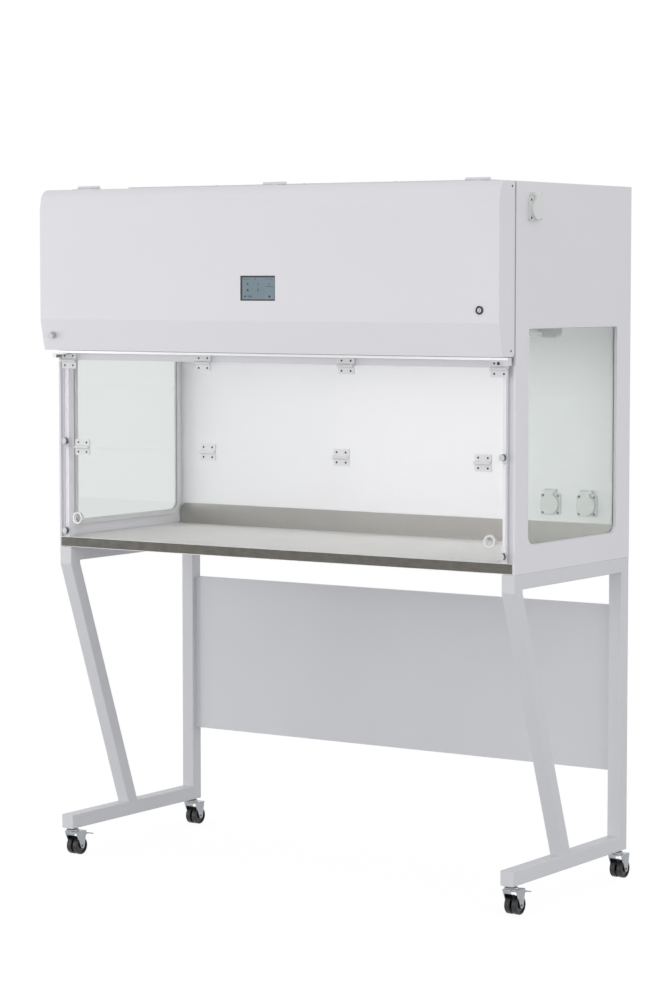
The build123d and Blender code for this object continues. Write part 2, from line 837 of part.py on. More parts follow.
def shelf_outline(front_edge, rear_edge):
    """A level plate between the side walls, notched round their front channels."""
    with BuildSketch(mode=Mode.PRIVATE) as outline:
        with BuildLine():
            Polyline(
                (-lip_inner + fit, front_edge),
                (lip_inner - fit, front_edge),
                (lip_inner - fit, channel_rear + fit),
                (skin_inner, channel_rear + fit),
                (skin_inner, rear_edge),
                (-skin_inner, rear_edge),
                (-skin_inner, channel_rear + fit),
                (-lip_inner + fit, channel_rear + fit),
                close=True,
            )
        make_face()
    return outline.sketch


with BuildPart() as filter_seat:
    with BuildSketch(Plane.XY.offset(ceiling)):
        add(shelf_outline(front + gauge, rear - gauge))
        with Locations((0, filter_y)):
            Rectangle(filter_mouth_width, filter_mouth_depth, mode=Mode.SUBTRACT)
    extrude(amount=gauge)
    with BuildSketch(Plane.XY.offset(ceiling + gauge)):
        with Locations((0, filter_y)):
            Rectangle(filter_mouth_width + 2 * gauge, filter_mouth_depth + 2 * gauge)
            Rectangle(filter_mouth_width, filter_mouth_depth, mode=Mode.SUBTRACT)
    extrude(amount=seat_height)
save(filter_seat, "filter_seat")

diffuser_pitch = filter_mouth_width / diffuser_slots
with BuildPart() as diffuser:
    with BuildSketch(Plane.XY.offset(ceiling - gauge)):
        with Locations((0, filter_y)):
            Rectangle(filter_width, filter_depth)
            with GridLocations(diffuser_pitch, 0, diffuser_slots, 1):
                Rectangle(
                    diffuser_pitch - diffuser_bar,
                    filter_mouth_depth - 2 * diffuser_margin,
                    mode=Mode.SUBTRACT,
                )
    extrude(amount=gauge)
save(diffuser, "diffuser")

with BuildPart() as filter_frame:
    with BuildSketch(Plane.XY.offset(filter_bottom)):
        with Locations((0, filter_y)):
            Rectangle(filter_width, filter_depth)
            Rectangle(filter_mouth_width, filter_mouth_depth, mode=Mode.SUBTRACT)
    extrude(amount=filter_height)
save(filter_frame, "filter_frame")

pleat_pitch = (filter_mouth_width - 2 * fit) / pleats
pleat_band = 8.0  # height of the band that gives a leg its thickness
pleat_low = filter_bottom + 1.0
pleat_high = filter_bottom + filter_height - 1.0 - pleat_band
with BuildPart() as filter_media:
    with BuildSketch(Plane.XZ.offset(-filter_y + filter_mouth_depth / 2 - fit)):
        crests = []
        for step in range(2 * pleats + 1):
            crest_x = -filter_mouth_width / 2 + fit + step * pleat_pitch / 2
            crests.append((crest_x, pleat_high if step % 2 else pleat_low))
        band = [(x, z + pleat_band) for x, z in reversed(crests)]
        with BuildLine():
            Polyline(*crests, *band, close=True)
        make_face()
    extrude(amount=-(filter_mouth_depth - 2 * fit))
save(filter_media, "filter_media")

with BuildPart() as fan_deck:
    with BuildSketch(Plane.XY.offset(deck_z)):
        add(shelf_outline(plenum_front, rear - gauge))
        with Locations((-fan_x, 0), (fan_x, 0)):
            Circle(inlet_radius + 20, mode=Mode.SUBTRACT)
    extrude(amount=gauge)
    for fan_sign in (-1, 1):
        with BuildSketch(Plane.XZ):
            with BuildLine():
                inlet_x0 = fan_sign * fan_x
                Polyline(
                    (inlet_x0 + inlet_radius + 24, deck_z),
                    (inlet_x0 + inlet_radius + 24, deck_z + gauge),
                    (inlet_x0 + inlet_radius + 18, deck_z + gauge),
                )
                RadiusArc(
                    (inlet_x0 + inlet_radius + 18, deck_z + gauge),
                    (inlet_x0 + inlet_radius, deck_z + gauge - 18),
                    -18,
                )
                Polyline(
                    (inlet_x0 + inlet_radius, deck_z + gauge - 18),
                    (inlet_x0 + inlet_radius, deck_z - inlet_height),
                    (inlet_x0 + inlet_radius + gauge, deck_z - inlet_height),
                    (inlet_x0 + inlet_radius + gauge, deck_z + gauge - 18),
                )
                RadiusArc(
                    (inlet_x0 + inlet_radius + gauge, deck_z + gauge - 18),
                    (inlet_x0 + inlet_radius + 18, deck_z),
                    16,
                )
                Line(
                    (inlet_x0 + inlet_radius + 18, deck_z),
                    (inlet_x0 + inlet_radius + 24, deck_z),
                )
            make_face()
        revolve(axis=Axis((inlet_x0, 0, 0), (0, 0, 1)))
save(fan_deck, "fan_deck")

plenum_top = hood_top - roof_flange
with BuildPart() as plenum_front_wall:
    with BuildSketch(Plane.XZ.offset(-plenum_front)):
        with Locations((0, (ceiling + gauge + plenum_top) / 2)):
            Rectangle(2 * lip_inner - 2 * fit, plenum_top - ceiling - gauge)
    extrude(amount=gauge)
save(plenum_front_wall, "plenum_front_wall")

eye_z = deck_z - inlet_height + 6
back_plate_z = eye_z - impeller_height
shroud_drop = 14.0
stator_height = 9.0
strap_half = impeller_radius + 26
strap_width = 44.0
with BuildPart() as fan_motors:
    for fan_sign in (-1, 1):
        motor_x = fan_sign * fan_x
        strap_top = back_plate_z - 1.5 - stator_height
        with BuildSketch(Plane.XZ.offset(-strap_width / 2)):
            folded_sheet(
                [
                    (motor_x - strap_half - 18, deck_z - gauge),
                    (motor_x - strap_half, deck_z - gauge),
                    (motor_x - strap_half, strap_top - gauge),
                    (motor_x + strap_half, strap_top - gauge),
                    (motor_x + strap_half, deck_z - gauge),
                    (motor_x + strap_half + 18, deck_z - gauge),
                ],
                side=Side.LEFT,
            )
        extrude(amount=strap_width)
        with BuildSketch(Plane.XY.offset(strap_top)):
            with Locations((motor_x, 0)):
                Circle(rotor_radius)
        extrude(amount=stator_height)
        with BuildSketch(Plane.XY.offset(strap_top + stator_height)):
            with Locations((motor_x, 0)):
                Circle(motor_shaft_radius)
        extrude(amount=rotor_height)
save(fan_motors, "fan_motors")

with BuildSketch(mode=Mode.PRIVATE) as blade_outline:
    with BuildLine() as blade:
        RadiusArc((rotor_radius + 22, 0), (impeller_radius - 14, -62), 110)
        offset(amount=blade_gauge, side=Side.RIGHT)
    make_face(blade.edges())

for fan_name, fan_sign in (("left", -1), ("right", 1)):
    motor_x = fan_sign * fan_x
    with BuildPart() as impeller:
        with BuildSketch(Plane.XY.offset(back_plate_z)):
            with Locations((motor_x, 0)):
                Circle(impeller_radius)
        extrude(amount=gauge)
        with BuildSketch(Plane.XY.offset(back_plate_z)):
            with Locations((motor_x, 0)):
                Circle(rotor_radius)
        extrude(amount=rotor_height)
        with BuildSketch(Plane.XY.offset(back_plate_z + gauge)):
            with Locations((motor_x, 0)):
                with PolarLocations(0, impeller_blades):
                    add(blade_outline.sketch)
        extrude(amount=impeller_height - shroud_drop - gauge + 1)
        with BuildSketch(Plane.XZ):
            with BuildLine():
                Polyline(
                    (motor_x + impeller_eye_radius, eye_z),
                    (motor_x + impeller_eye_radius, eye_z - 5),
                    (motor_x + impeller_radius, eye_z - shroud_drop),
                    (motor_x + impeller_radius, eye_z - shroud_drop + gauge),
                    (motor_x + impeller_eye_radius + gauge, eye_z - 5 + gauge),
                    (motor_x + impeller_eye_radius + gauge, eye_z),
                    close=True,
                )
            make_face()
        revolve(axis=Axis((motor_x, 0, 0), (0, 0, 1)))
        with BuildSketch(Plane.XY.offset(back_plate_z - 1)):
            with Locations((motor_x, 0)):
                Circle(motor_shaft_radius + pin_play)
        extrude(amount=rotor_height, mode=Mode.SUBTRACT)
    save(impeller, f"fan_impeller_{fan_name}")

# ---- intake cover and prefilter -----------------------------------------------------------------
with BuildPart() as intake_cover:
    with BuildSketch(Plane.XY.offset(hood_top)):
        with Locations((0, intake_y)):
            RectangleRounded(intake_width + 2 * intake_margin, intake_depth + intake_margin, 4)
    extrude(amount=intake_cover_height)
    with BuildSketch(Plane.XY.offset(hood_top)):
        with Locations((0, intake_y)):
            Rectangle(
                intake_width + 2 * intake_margin - 2 * gauge,
                intake_depth + intake_margin - 2 * gauge,
            )
    extrude(amount=intake_cover_height - gauge, mode=Mode.SUBTRACT)
    with BuildSketch(Plane.XY.offset(hood_top)):
        with Locations((0, intake_y)):
            with GridLocations(intake_width / intake_slots, intake_depth / 2, intake_slots, 2):
                SlotOverall(intake_depth / 2 - 24, 8, rotation=90)
    extrude(amount=intake_cover_height, mode=Mode.SUBTRACT)
save(intake_cover, "intake_cover")

with BuildPart() as prefilter_pad:
    with BuildSketch(Plane.XY.offset(hood_top)):
        with Locations((0, intake_y)):
            Rectangle(
                intake_width + 2 * intake_margin - 2 * gauge - 2,
                intake_depth + intake_margin - 2 * gauge - 2,
            )
    extrude(amount=intake_cover_height - gauge)
save(prefilter_pad, "prefilter_pad")

# ---- control box and lamp --------------------------------------------------------------------
with BuildPart() as control_box:
    with BuildSketch(Plane.XZ.offset(-plenum_front + gauge)):
        with Locations((control_box_x, (ceiling + gauge + deck_z) / 2)):
            RectangleRounded(control_box_width, control_box_height, 3)
    extrude(amount=control_box_depth)
    with BuildSketch(Plane.XZ.offset(-plenum_front + gauge + control_box_depth)):
        with Locations((control_box_x, (ceiling + gauge + deck_z) / 2)):
            RectangleRounded(control_box_width + 4, control_box_height + 4, 4)
    extrude(amount=gauge)
save(control_box, "control_box")

lamp_z = ceiling - lamp_drop
lamp_end = lamp_length / 2
with BuildPart() as lamp_tube:
    with BuildSketch(Plane.YZ.offset(-lamp_end)):
        with Locations((lamp_y, lamp_z)):
            Circle(lamp_radius)
    extrude(amount=lamp_length)
    for side_sign in (-1, 1):
        with BuildSketch(Plane.YZ.offset(side_sign * (lamp_end - lamp_cap))):
            with Locations((lamp_y, lamp_z)):
                Circle(lamp_radius + 0.4)
        extrude(amount=side_sign * lamp_cap)
        with BuildSketch(Plane.YZ.offset(side_sign * lamp_end)):
            with Locations((lamp_y - lamp_pin_pitch / 2, lamp_z), (lamp_y + lamp_pin_pitch / 2, lamp_z)):
                Circle(lamp_pin_radius)
        extrude(amount=side_sign * lamp_pin_length)
save(lamp_tube, "lamp_tube")

with BuildPart() as lamp_holders:
    for side_sign in (-1, 1):
        holder_x = side_sign * (lamp_end + holder_gap)
        holder_end = holder_x + side_sign * lamp_holder_length
        with BuildSketch(Plane.XZ.offset(-lamp_y - lamp_radius - 1)):
            with BuildLine():
                Polyline(
                    (holder_x, lamp_z - holder_half),
                    (holder_end - side_sign * 8, lamp_z - holder_half),
                    (holder_end, lamp_z - holder_half + 10),
                    (holder_end, ceiling - gauge),
                    (holder_x + side_sign * 8, ceiling - gauge),
                    (holder_x + side_sign * 8, lamp_z + holder_half),
                    (holder_x, lamp_z + holder_half),
                    close=True,
                )
            make_face()
        extrude(amount=2 * lamp_radius + 2)
        with BuildSketch(Plane.YZ.offset(holder_x)):
            with Locations((lamp_y - lamp_pin_pitch / 2, lamp_z), (lamp_y + lamp_pin_pitch / 2, lamp_z)):
                Circle(lamp_pin_radius + 0.3)
        extrude(amount=side_sign * 8, mode=Mode.SUBTRACT)
save(lamp_holders, "lamp_holders")

# ---- sockets ---------------------------------------------------------------------------------
socket_faces = {
    "left": Plane(
        origin=(back_socket_x, liner_face, back_socket_z), x_dir=(1, 0, 0), z_dir=(0, -1, 0)
    ),
    "right": Plane(
        origin=(back_socket_x + back_socket_pitch, liner_face, back_socket_z),
        x_dir=(1, 0, 0),
        z_dir=(0, -1, 0),
    ),
    "side": Plane(
        origin=(half_width, side_socket_y, side_socket_z), x_dir=(0, 1, 0), z_dir=(1, 0, 0)
    ),
}
lid_planes = {
    name: Plane(
        origin=face.origin
        + face.y_dir * lid_hinge_rise
        + face.z_dir * (socket_base + lid_axis_height),
        x_dir=face.z_dir,
        z_dir=face.x_dir,
    )
    for name, face in socket_faces.items()
}
ear_width = lid_bracket_half - lid_tab_half - fit

with BuildPart() as sockets:
    for name, face in socket_faces.items():
        with BuildSketch(face):
            RectangleRounded(socket_width, socket_width, 6)
            with Locations((0, lid_hinge_rise - 8)):
                Rectangle(2 * lid_bracket_half, 2 * lid_knuckle + 16)
        extrude(amount=socket_base)
        with BuildSketch(face.offset(socket_base)):
            with GridLocations(socket_screw_pitch, socket_screw_pitch, 2, 2):
                Circle(socket_screw_pocket)
        extrude(amount=-3, mode=Mode.SUBTRACT)
        with BuildSketch(face):
            Circle(socket_well_radius)
        extrude(amount=-socket_well_depth)
        with BuildSketch(face.offset(socket_base)):
            Circle(socket_well_radius - socket_wall)
        extrude(amount=-(socket_base + socket_well_depth - 3), mode=Mode.SUBTRACT)
        with BuildSketch(face.offset(-socket_well_depth)):
            with GridLocations(socket_pin_pitch, 0, 2, 1):
                Circle(socket_pin_radius)
        extrude(amount=3, mode=Mode.SUBTRACT)
        with BuildSketch(face.offset(socket_base)):
            with Locations((0, lid_hinge_rise)):
                with GridLocations(2 * (lid_tab_half + fit) + ear_width, 0, 2, 1):
                    Rectangle(ear_width, 2 * lid_knuckle)
        extrude(amount=lid_knuckle + lid_axis_height)
        with BuildSketch(lid_planes[name]):
            Circle(lid_pin_radius)
        extrude(amount=lid_tab_half + 2, both=True)
save(sockets, "sockets")

for name, face in socket_faces.items():
    with BuildPart() as lid:
        with BuildSketch(face.offset(socket_base + fit)):
            Circle(lid_radius)
            with Locations((0, lid_hinge_rise / 2)):
                Rectangle(2 * lid_tab_half, lid_hinge_rise)
        extrude(amount=lid_height)
        outer_face = lid.faces().sort_by(Axis(face.origin, face.z_dir))[-1]
        fillet(outer_face.edges(), lid_wall * 0.7)
        with BuildSketch(face.offset(socket_base + fit)):
            Circle(lid_radius - lid_wall)
        extrude(amount=lid_height - lid_wall, mode=Mode.SUBTRACT)
        with BuildSketch(lid_planes[name]):
            Circle(lid_knuckle)
        extrude(amount=lid_tab_half, both=True)
        with BuildSketch(lid_planes[name]):
            Circle(lid_pin_radius + pin_play)
        extrude(amount=lid_tab_half, both=True, mode=Mode.SUBTRACT)
    save(lid, f"socket_lid_{name}")


# ---- front cover -----------------------------------------------------------------------------
def cover_outline():
    """The line of the front cover from its hinged edge over the top to its bottom edge."""
    top_front = (front - cover_top_depth, cover_top)
    arc_end = (cover_face + 4, cover_top - cover_top_drop)
    bottom_front = (front - cover_bottom_depth, cover_top - cover_bottom)
    Line((cover_rear, cover_top), top_front)
    RadiusArc(top_front, arc_end, -cover_top_drop)
    Polyline(
        arc_end,
        (cover_face, cover_top - cover_upper_crease),
        (cover_face, cover_top - cover_lower_crease),
        bottom_front,
    )
    return bottom_front


facet_drop = cover_bottom - cover_lower_crease
facet_back = cover_depth - cover_bottom_depth
facet_y = cover_face + facet_back * (cover_knob_drop - cover_lower_crease) / facet_drop
knob_face = Plane(
    origin=(-cover_knob_x, facet_y, cover_top - cover_knob_drop),
    x_dir=(1, 0, 0),
    z_dir=(0, -facet_drop, -facet_back),
)
display_z = cover_top - display_drop

with BuildPart() as front_cover:
    with BuildSketch(Plane.YZ.offset(-cover_half)):
        with BuildLine() as cover_line:
            bottom_front = cover_outline()
            Line(bottom_front, (bottom_front[0] + cover_return, bottom_front[1]))
            offset(amount=gauge, side=Side.LEFT, kind=Kind.INTERSECTION)
        make_face(cover_line.edges())
    extrude(amount=2 * cover_half)
    for cover_end in (-cover_half, cover_half - gauge):
        with BuildSketch(Plane.YZ.offset(cover_end)) as end_plate:
            with BuildLine() as end_line:
                bottom_front = cover_outline()
                Polyline(bottom_front, (cover_rear, bottom_front[1]), (cover_rear, cover_top))
            make_face(end_line.edges())
            fillet(end_plate.vertices().group_by(Axis.Y)[0].sort_by(Axis.X)[-1], cover_corner)
        extrude(amount=gauge)
    for hinge_x in (-cover_hinge_x, 0, cover_hinge_x):
        leaf_front = cover_hinge_y - cover_hinge_radius - 1
        with BuildSketch(Plane.XY.offset(cover_top)):
            with Locations((hinge_x, leaf_front - cover_hinge_leaf_length / 2)):
                Rectangle(cover_hinge_width, cover_hinge_leaf_length)
        extrude(amount=cover_hinge_leaf)
        with BuildSketch(Plane.YZ.offset(hinge_x - cover_knuckle / 2)):
            with Locations((cover_hinge_y, cover_hinge_z)):
                Circle(cover_hinge_radius)
            with Locations(((cover_hinge_y + leaf_front) / 2 - 1, cover_top + cover_hinge_leaf / 2 + 1)):
                Rectangle(cover_hinge_y - leaf_front, cover_hinge_leaf + 2)
        extrude(amount=cover_knuckle)
        with BuildSketch(Plane.YZ.offset(hinge_x - cover_knuckle / 2)):
            with Locations((cover_hinge_y, cover_hinge_z)):
                Circle(cover_pin_radius + pin_play)
        extrude(amount=cover_knuckle, mode=Mode.SUBTRACT)
    with BuildSketch(Plane.XZ.offset(-cover_face - gauge - 1)):
        with Locations((0, display_z)):
            RectangleRounded(display_width, display_height, 2)
        with Locations((lock_x, lock_z)):
            Circle(lock_radius + fit)
    extrude(amount=gauge + 2, mode=Mode.SUBTRACT)
    with BuildSketch(knob_face.offset(-gauge - 1)):
        Circle(cover_shank_radius + fit)
    extrude(amount=gauge + 2, mode=Mode.SUBTRACT)
save(front_cover, "front_cover")

with BuildPart() as display:
    with BuildSketch(Plane.XZ.offset(-cover_face - gauge)):
        with Locations((0, display_z)):
            RectangleRounded(display_width - 2 * fit, display_height - 2 * fit, 2)
    extrude(amount=gauge - display_recess)
    with BuildSketch(Plane.XZ.offset(-cover_face - gauge)):
        with Locations((0, display_z)):
            Rectangle(display_width + 20, display_height + 20)
    extrude(amount=-display_box_depth)
save(display, "display")

with BuildPart() as lock_barrel:
    with BuildSketch(Plane.XZ.offset(-cover_face)):
        with Locations((lock_x, lock_z)):
            Circle(lock_flange_radius)
    extrude(amount=lock_flange)
    with BuildSketch(Plane.XZ.offset(-cover_face)):
        with Locations((lock_x, lock_z)):
            Circle(lock_radius)
    extrude(amount=-lock_body_length)
    with BuildSketch(Plane.XZ.offset(-cover_face - gauge)):
        with Locations((lock_x, lock_z)):
            RegularPolygon(lock_radius + 3, 6)
    extrude(amount=-4)
    with BuildSketch(Plane.XZ.offset(-cover_face + lock_flange)):
        with Locations((lock_x, lock_z)):
            Circle(lock_plug_radius + pin_play)
    extrude(amount=-(lock_flange + lock_body_length), mode=Mode.SUBTRACT)
save(lock_barrel, "lock_barrel")

cam_y = cover_face + lock_body_length + fit
with BuildPart() as lock_plug:
    with BuildSketch(Plane.XZ.offset(-cover_face + lock_flange - 0.5)):
        with Locations((lock_x, lock_z)):
            Circle(lock_plug_radius)
    extrude(amount=-(lock_flange - 0.5 + lock_body_length + fit))
    with BuildSketch(Plane.XZ.offset(-cam_y)):
        with Locations((lock_x, lock_z)):
            Circle(cam_width)
        with Locations((lock_x, lock_z - cam_length / 2)):
            Rectangle(cam_width, cam_length)
    extrude(amount=-2.5)
    with BuildSketch(Plane.XZ.offset(-cover_face + lock_flange - 0.5)):
        with Locations((lock_x, lock_z)):
            Rectangle(1.6, 8)
    extrude(amount=-3, mode=Mode.SUBTRACT)
save(lock_plug, "lock_plug")

# ---- knurled knobs ---------------------------------------------------------------------------


def knurled(radius):
    """A knurled circle: straight teeth round the rim."""
    teeth = [
        (
            (radius - (knurl_depth if step % 2 else 0)) * math.cos(math.pi * step / knurls),
            (radius - (knurl_depth if step % 2 else 0)) * math.sin(math.pi * step / knurls),
        )
        for step in range(2 * knurls)
    ]
    with BuildSketch(mode=Mode.PRIVATE) as outline:
        with BuildLine() as rim:
            Polyline(*teeth, close=True)
        make_face(rim.edges())
    return outline.sketch


with BuildPart() as cover_knob:
    with BuildSketch(knob_face.offset(fit)):
        Circle(knob_radius - 2.5)
    extrude(amount=3)
    with BuildSketch(knob_face.offset(fit + 3)):
        add(knurled(knob_radius))
    extrude(amount=cover_knob_length - 4.5)
    with BuildSketch(knob_face.offset(fit + cover_knob_length - 1.5)):
        Circle(knob_radius - 1.2)
    extrude(amount=1.5)
    with BuildSketch(knob_face.offset(fit)):
        Circle(cover_shank_radius)
    extrude(amount=-(gauge + 14))
    with BuildSketch(knob_face.offset(-gauge - fit)):
        Circle(cover_shank_radius + 2.5)
    extrude(amount=-2)
save(cover_knob, "cover_knob")

# ---- panes -------------------------------------------------------------------------------------
upper_knob_z = upper_pane_bottom + upper_knob_rise
lower_knob_z = lower_pane_bottom + lower_knob_rise
finger_hole_z = lower_pane_bottom + finger_hole_rise
with BuildPart() as upper_pane:
    with BuildSketch(Plane.XZ.offset(-pane_face - pane_thickness)):
        with Locations((0, (upper_pane_top + upper_pane_bottom) / 2)):
            Rectangle(2 * pane_half, upper_pane_height)
        with Locations((-knob_x, upper_knob_z), (knob_x, upper_knob_z)):
            Circle(knob_shank_radius + fit, mode=Mode.SUBTRACT)
    extrude(amount=pane_thickness)
save(upper_pane, "upper_pane")

with BuildPart() as lower_pane:
    with BuildSketch(Plane.XZ.offset(-pane_face - pane_thickness)):
        with Locations((0, (lower_pane_top + lower_pane_bottom) / 2)):
            Rectangle(2 * pane_half, lower_pane_top - lower_pane_bottom)
        with Locations((-knob_x, lower_knob_z), (knob_x, lower_knob_z)):
            Circle(knob_shank_radius + fit, mode=Mode.SUBTRACT)
        with Locations((-finger_hole_x, finger_hole_z), (finger_hole_x, finger_hole_z)):
            Circle(finger_hole_radius + 2, mode=Mode.SUBTRACT)
    extrude(amount=pane_thickness)
save(lower_pane, "lower_pane")

with BuildPart() as finger_rings:
    for side_sign in (-1, 1):
        with BuildSketch(Plane.XZ.offset(-pane_face)):
            with Locations((side_sign * finger_hole_x, finger_hole_z)):
                Circle(finger_ring_radius)
        extrude(amount=finger_ring_stand)
        with BuildSketch(Plane.XZ.offset(-pane_face)):
            with Locations((side_sign * finger_hole_x, finger_hole_z)):
                Circle(finger_hole_radius + 2)
        extrude(amount=-pane_thickness)
        with BuildSketch(Plane.XZ.offset(-pane_face - pane_thickness)):
            with Locations((side_sign * finger_hole_x, finger_hole_z)):
                Circle(finger_ring_radius)
        extrude(amount=-2)
        with BuildSketch(Plane.XZ.offset(-pane_face + finger_ring_stand)):
            with Locations((side_sign * finger_hole_x, finger_hole_z)):
                Circle(finger_hole_radius)
        extrude(amount=-(finger_ring_stand + pane_thickness + 2), mode=Mode.SUBTRACT)
save(finger_rings, "finger_rings")

knob_places = {
    "upper_left": (-knob_x, upper_knob_z),
    "upper_right": (knob_x, upper_knob_z),
    "lower_left": (-knob_x, lower_knob_z),
    "lower_right": (knob_x, lower_knob_z),
}
for place, (x, z) in knob_places.items():
    with BuildPart() as pane_knob:
        knob_plane = Plane.XZ.offset(-pane_face + fit)
        with BuildSketch(knob_plane):
            with Locations((x, z)):
                Circle(knob_radius - 2.5)
        extrude(amount=2)
        with BuildSketch(knob_plane.offset(2)):
            with Locations((x, z)):
                add(knurled(knob_radius))
        extrude(amount=knob_length - 3.5)
        with BuildSketch(knob_plane.offset(knob_length - 1.5)):
            with Locations((x, z)):
                Circle(knob_radius - 1.2)
        extrude(amount=1.5)
        with BuildSketch(knob_plane):
            with Locations((x, z)):
                Circle(knob_shank_radius)
        extrude(amount=-(pane_thickness + fit))
    save(pane_knob, f"pane_knob_{place}")

# ---- pane hinges -------------------------------------------------------------------------------
leaf_front = pane_face - leaf_thickness
leaf_reach = pane_hinge_height / 2
knuckle_half = pane_hinge_width / 5
leaf_notch = knuckle_radius + 0.5
top_hinges = [(sign * x, top_hinge_z) for sign in (-1, 1) for x in (top_hinge_x / 3, top_hinge_x)]
mid_hinges = [(sign * x, mid_hinge_z) for sign in (-1, 1) for x in (mid_hinge_x / 3, mid_hinge_x)]

with BuildPart() as window_hinges:
    for x, z in top_hinges:
        for knuckle_x in (x - pane_hinge_width / 2, x + knuckle_half + fit):
            with BuildSketch(Plane.YZ.offset(knuckle_x)):
                with Locations((hinge_y, z)):
                    Circle(knuckle_radius)
                with Locations(((leaf_front + front) / 2, z + leaf_reach / 2)):
                    Rectangle(front - leaf_front, leaf_reach)
            extrude(amount=pane_hinge_width / 2 - knuckle_half - fit)
        with BuildSketch(Plane.YZ.offset(x - knuckle_half - fit)):
            with Locations(((leaf_front + front) / 2, z + (leaf_reach + leaf_notch) / 2)):
                Rectangle(front - leaf_front, leaf_reach - leaf_notch)
        extrude(amount=2 * (knuckle_half + fit))
        with BuildSketch(Plane.YZ.offset(x - pane_hinge_width / 2)):
            with Locations((hinge_y, z)):
                Circle(hinge_pin_radius)
        extrude(amount=pane_hinge_width)
save(window_hinges, "window_hinges")

with BuildPart() as upper_pane_hinges:
    for x, z in mid_hinges:
        for knuckle_x in (x - pane_hinge_width / 2, x + knuckle_half + fit):
            with BuildSketch(Plane.YZ.offset(knuckle_x)):
                with Locations((hinge_y, z)):
                    Circle(knuckle_radius)
                with Locations(((leaf_front + pane_face) / 2, z + leaf_reach / 2)):
                    Rectangle(leaf_thickness, leaf_reach)
            extrude(amount=pane_hinge_width / 2 - knuckle_half - fit)
        with BuildSketch(Plane.YZ.offset(x - knuckle_half - fit)):
            with Locations(((leaf_front + pane_face) / 2, z + (leaf_reach + leaf_notch) / 2)):
                Rectangle(leaf_thickness, leaf_reach - leaf_notch)
        extrude(amount=2 * (knuckle_half + fit))
        with BuildSketch(Plane.YZ.offset(x - pane_hinge_width / 2)):
            with Locations((hinge_y, z)):
                Circle(hinge_pin_radius)
        extrude(amount=pane_hinge_width)
    for x, z in top_hinges:
        with BuildSketch(Plane.YZ.offset(x - knuckle_half)):
            with Locations((hinge_y, z)):
                Circle(knuckle_radius)
            with Locations(((leaf_front + pane_face) / 2, z - leaf_reach / 2)):
                Rectangle(leaf_thickness, leaf_reach)
            with Locations((hinge_y, z)):
                Circle(hinge_pin_radius + pin_play, mode=Mode.SUBTRACT)
        extrude(amount=2 * knuckle_half)
        with BuildSketch(Plane.YZ.offset(x - pane_hinge_width / 2)):
            with Locations(((leaf_front + pane_face) / 2, z - (leaf_reach + leaf_notch) / 2)):
                Rectangle(leaf_thickness, leaf_reach - leaf_notch)
        extrude(amount=pane_hinge_width)
save(upper_pane_hinges, "upper_pane_hinges")

with BuildPart() as lower_pane_hinges:
    for x, z in mid_hinges:
        with BuildSketch(Plane.YZ.offset(x - knuckle_half)):
            with Locations((hinge_y, z)):
                Circle(knuckle_radius)
            with Locations(((leaf_front + pane_face) / 2, z - leaf_reach / 2)):
                Rectangle(leaf_thickness, leaf_reach)
            with Locations((hinge_y, z)):
                Circle(hinge_pin_radius + pin_play, mode=Mode.SUBTRACT)
        extrude(amount=2 * knuckle_half)
        with BuildSketch(Plane.YZ.offset(x - pane_hinge_width / 2)):
            with Locations(((leaf_front + pane_face) / 2, z - (leaf_reach + leaf_notch) / 2)):
                Rectangle(leaf_thickness, leaf_reach - leaf_notch)
        extrude(amount=pane_hinge_width)
save(lower_pane_hinges, "lower_pane_hinges")
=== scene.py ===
import math

import bmesh
import bpy
from mathutils import Matrix, Vector


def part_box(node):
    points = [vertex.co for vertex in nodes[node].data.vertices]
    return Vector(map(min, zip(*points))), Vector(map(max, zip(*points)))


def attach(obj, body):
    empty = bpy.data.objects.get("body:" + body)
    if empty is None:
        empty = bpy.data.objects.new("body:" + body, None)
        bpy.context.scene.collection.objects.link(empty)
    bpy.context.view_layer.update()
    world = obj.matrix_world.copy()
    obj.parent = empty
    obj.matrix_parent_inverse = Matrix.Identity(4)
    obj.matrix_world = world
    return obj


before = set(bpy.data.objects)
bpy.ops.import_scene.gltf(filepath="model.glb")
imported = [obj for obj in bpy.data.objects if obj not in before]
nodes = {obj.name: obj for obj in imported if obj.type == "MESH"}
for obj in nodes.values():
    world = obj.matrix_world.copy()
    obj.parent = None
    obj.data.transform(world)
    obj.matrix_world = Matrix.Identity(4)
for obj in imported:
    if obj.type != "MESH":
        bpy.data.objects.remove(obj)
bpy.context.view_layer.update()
metre_mm = 1000  # Object coordinates are in metres, and patterns are given in millimetres


def linear(hex_code):
    """An sRGB hex value as the linear colour that shaders take."""
    parts = [int(hex_code[i : i + 2], 16) / 255 for i in (1, 3, 5)]
    return (
        *(p / 12.92 if p <= 0.04045 else ((p + 0.055) / 1.055) ** 2.4 for p in parts),
        1.0,
    )


def add_node(tree, kind, settings=None, inputs=None):
    """Adds a node: settings are its attributes, inputs are values or (node, output) links."""
    new = tree.nodes.new(kind)
    for name, value in (settings or {}).items():
        setattr(new, name, value)
    for name, value in (inputs or {}).items():
        if isinstance(value, tuple) and isinstance(value[0], bpy.types.Node):
            tree.links.new(value[0].outputs[value[1]], new.inputs[name])
        else:
            new.inputs[name].default_value = value
    return new


def new_material(name):
    """An empty material with its output node and the object's own coordinates."""
    material = bpy.data.materials.new(name)
    material.use_nodes = True
    tree = material.node_tree
    tree.nodes.clear()
    place = add_node(tree, "ShaderNodeTexCoord")
    output = add_node(tree, "ShaderNodeOutputMaterial")
    return material, tree, place, output


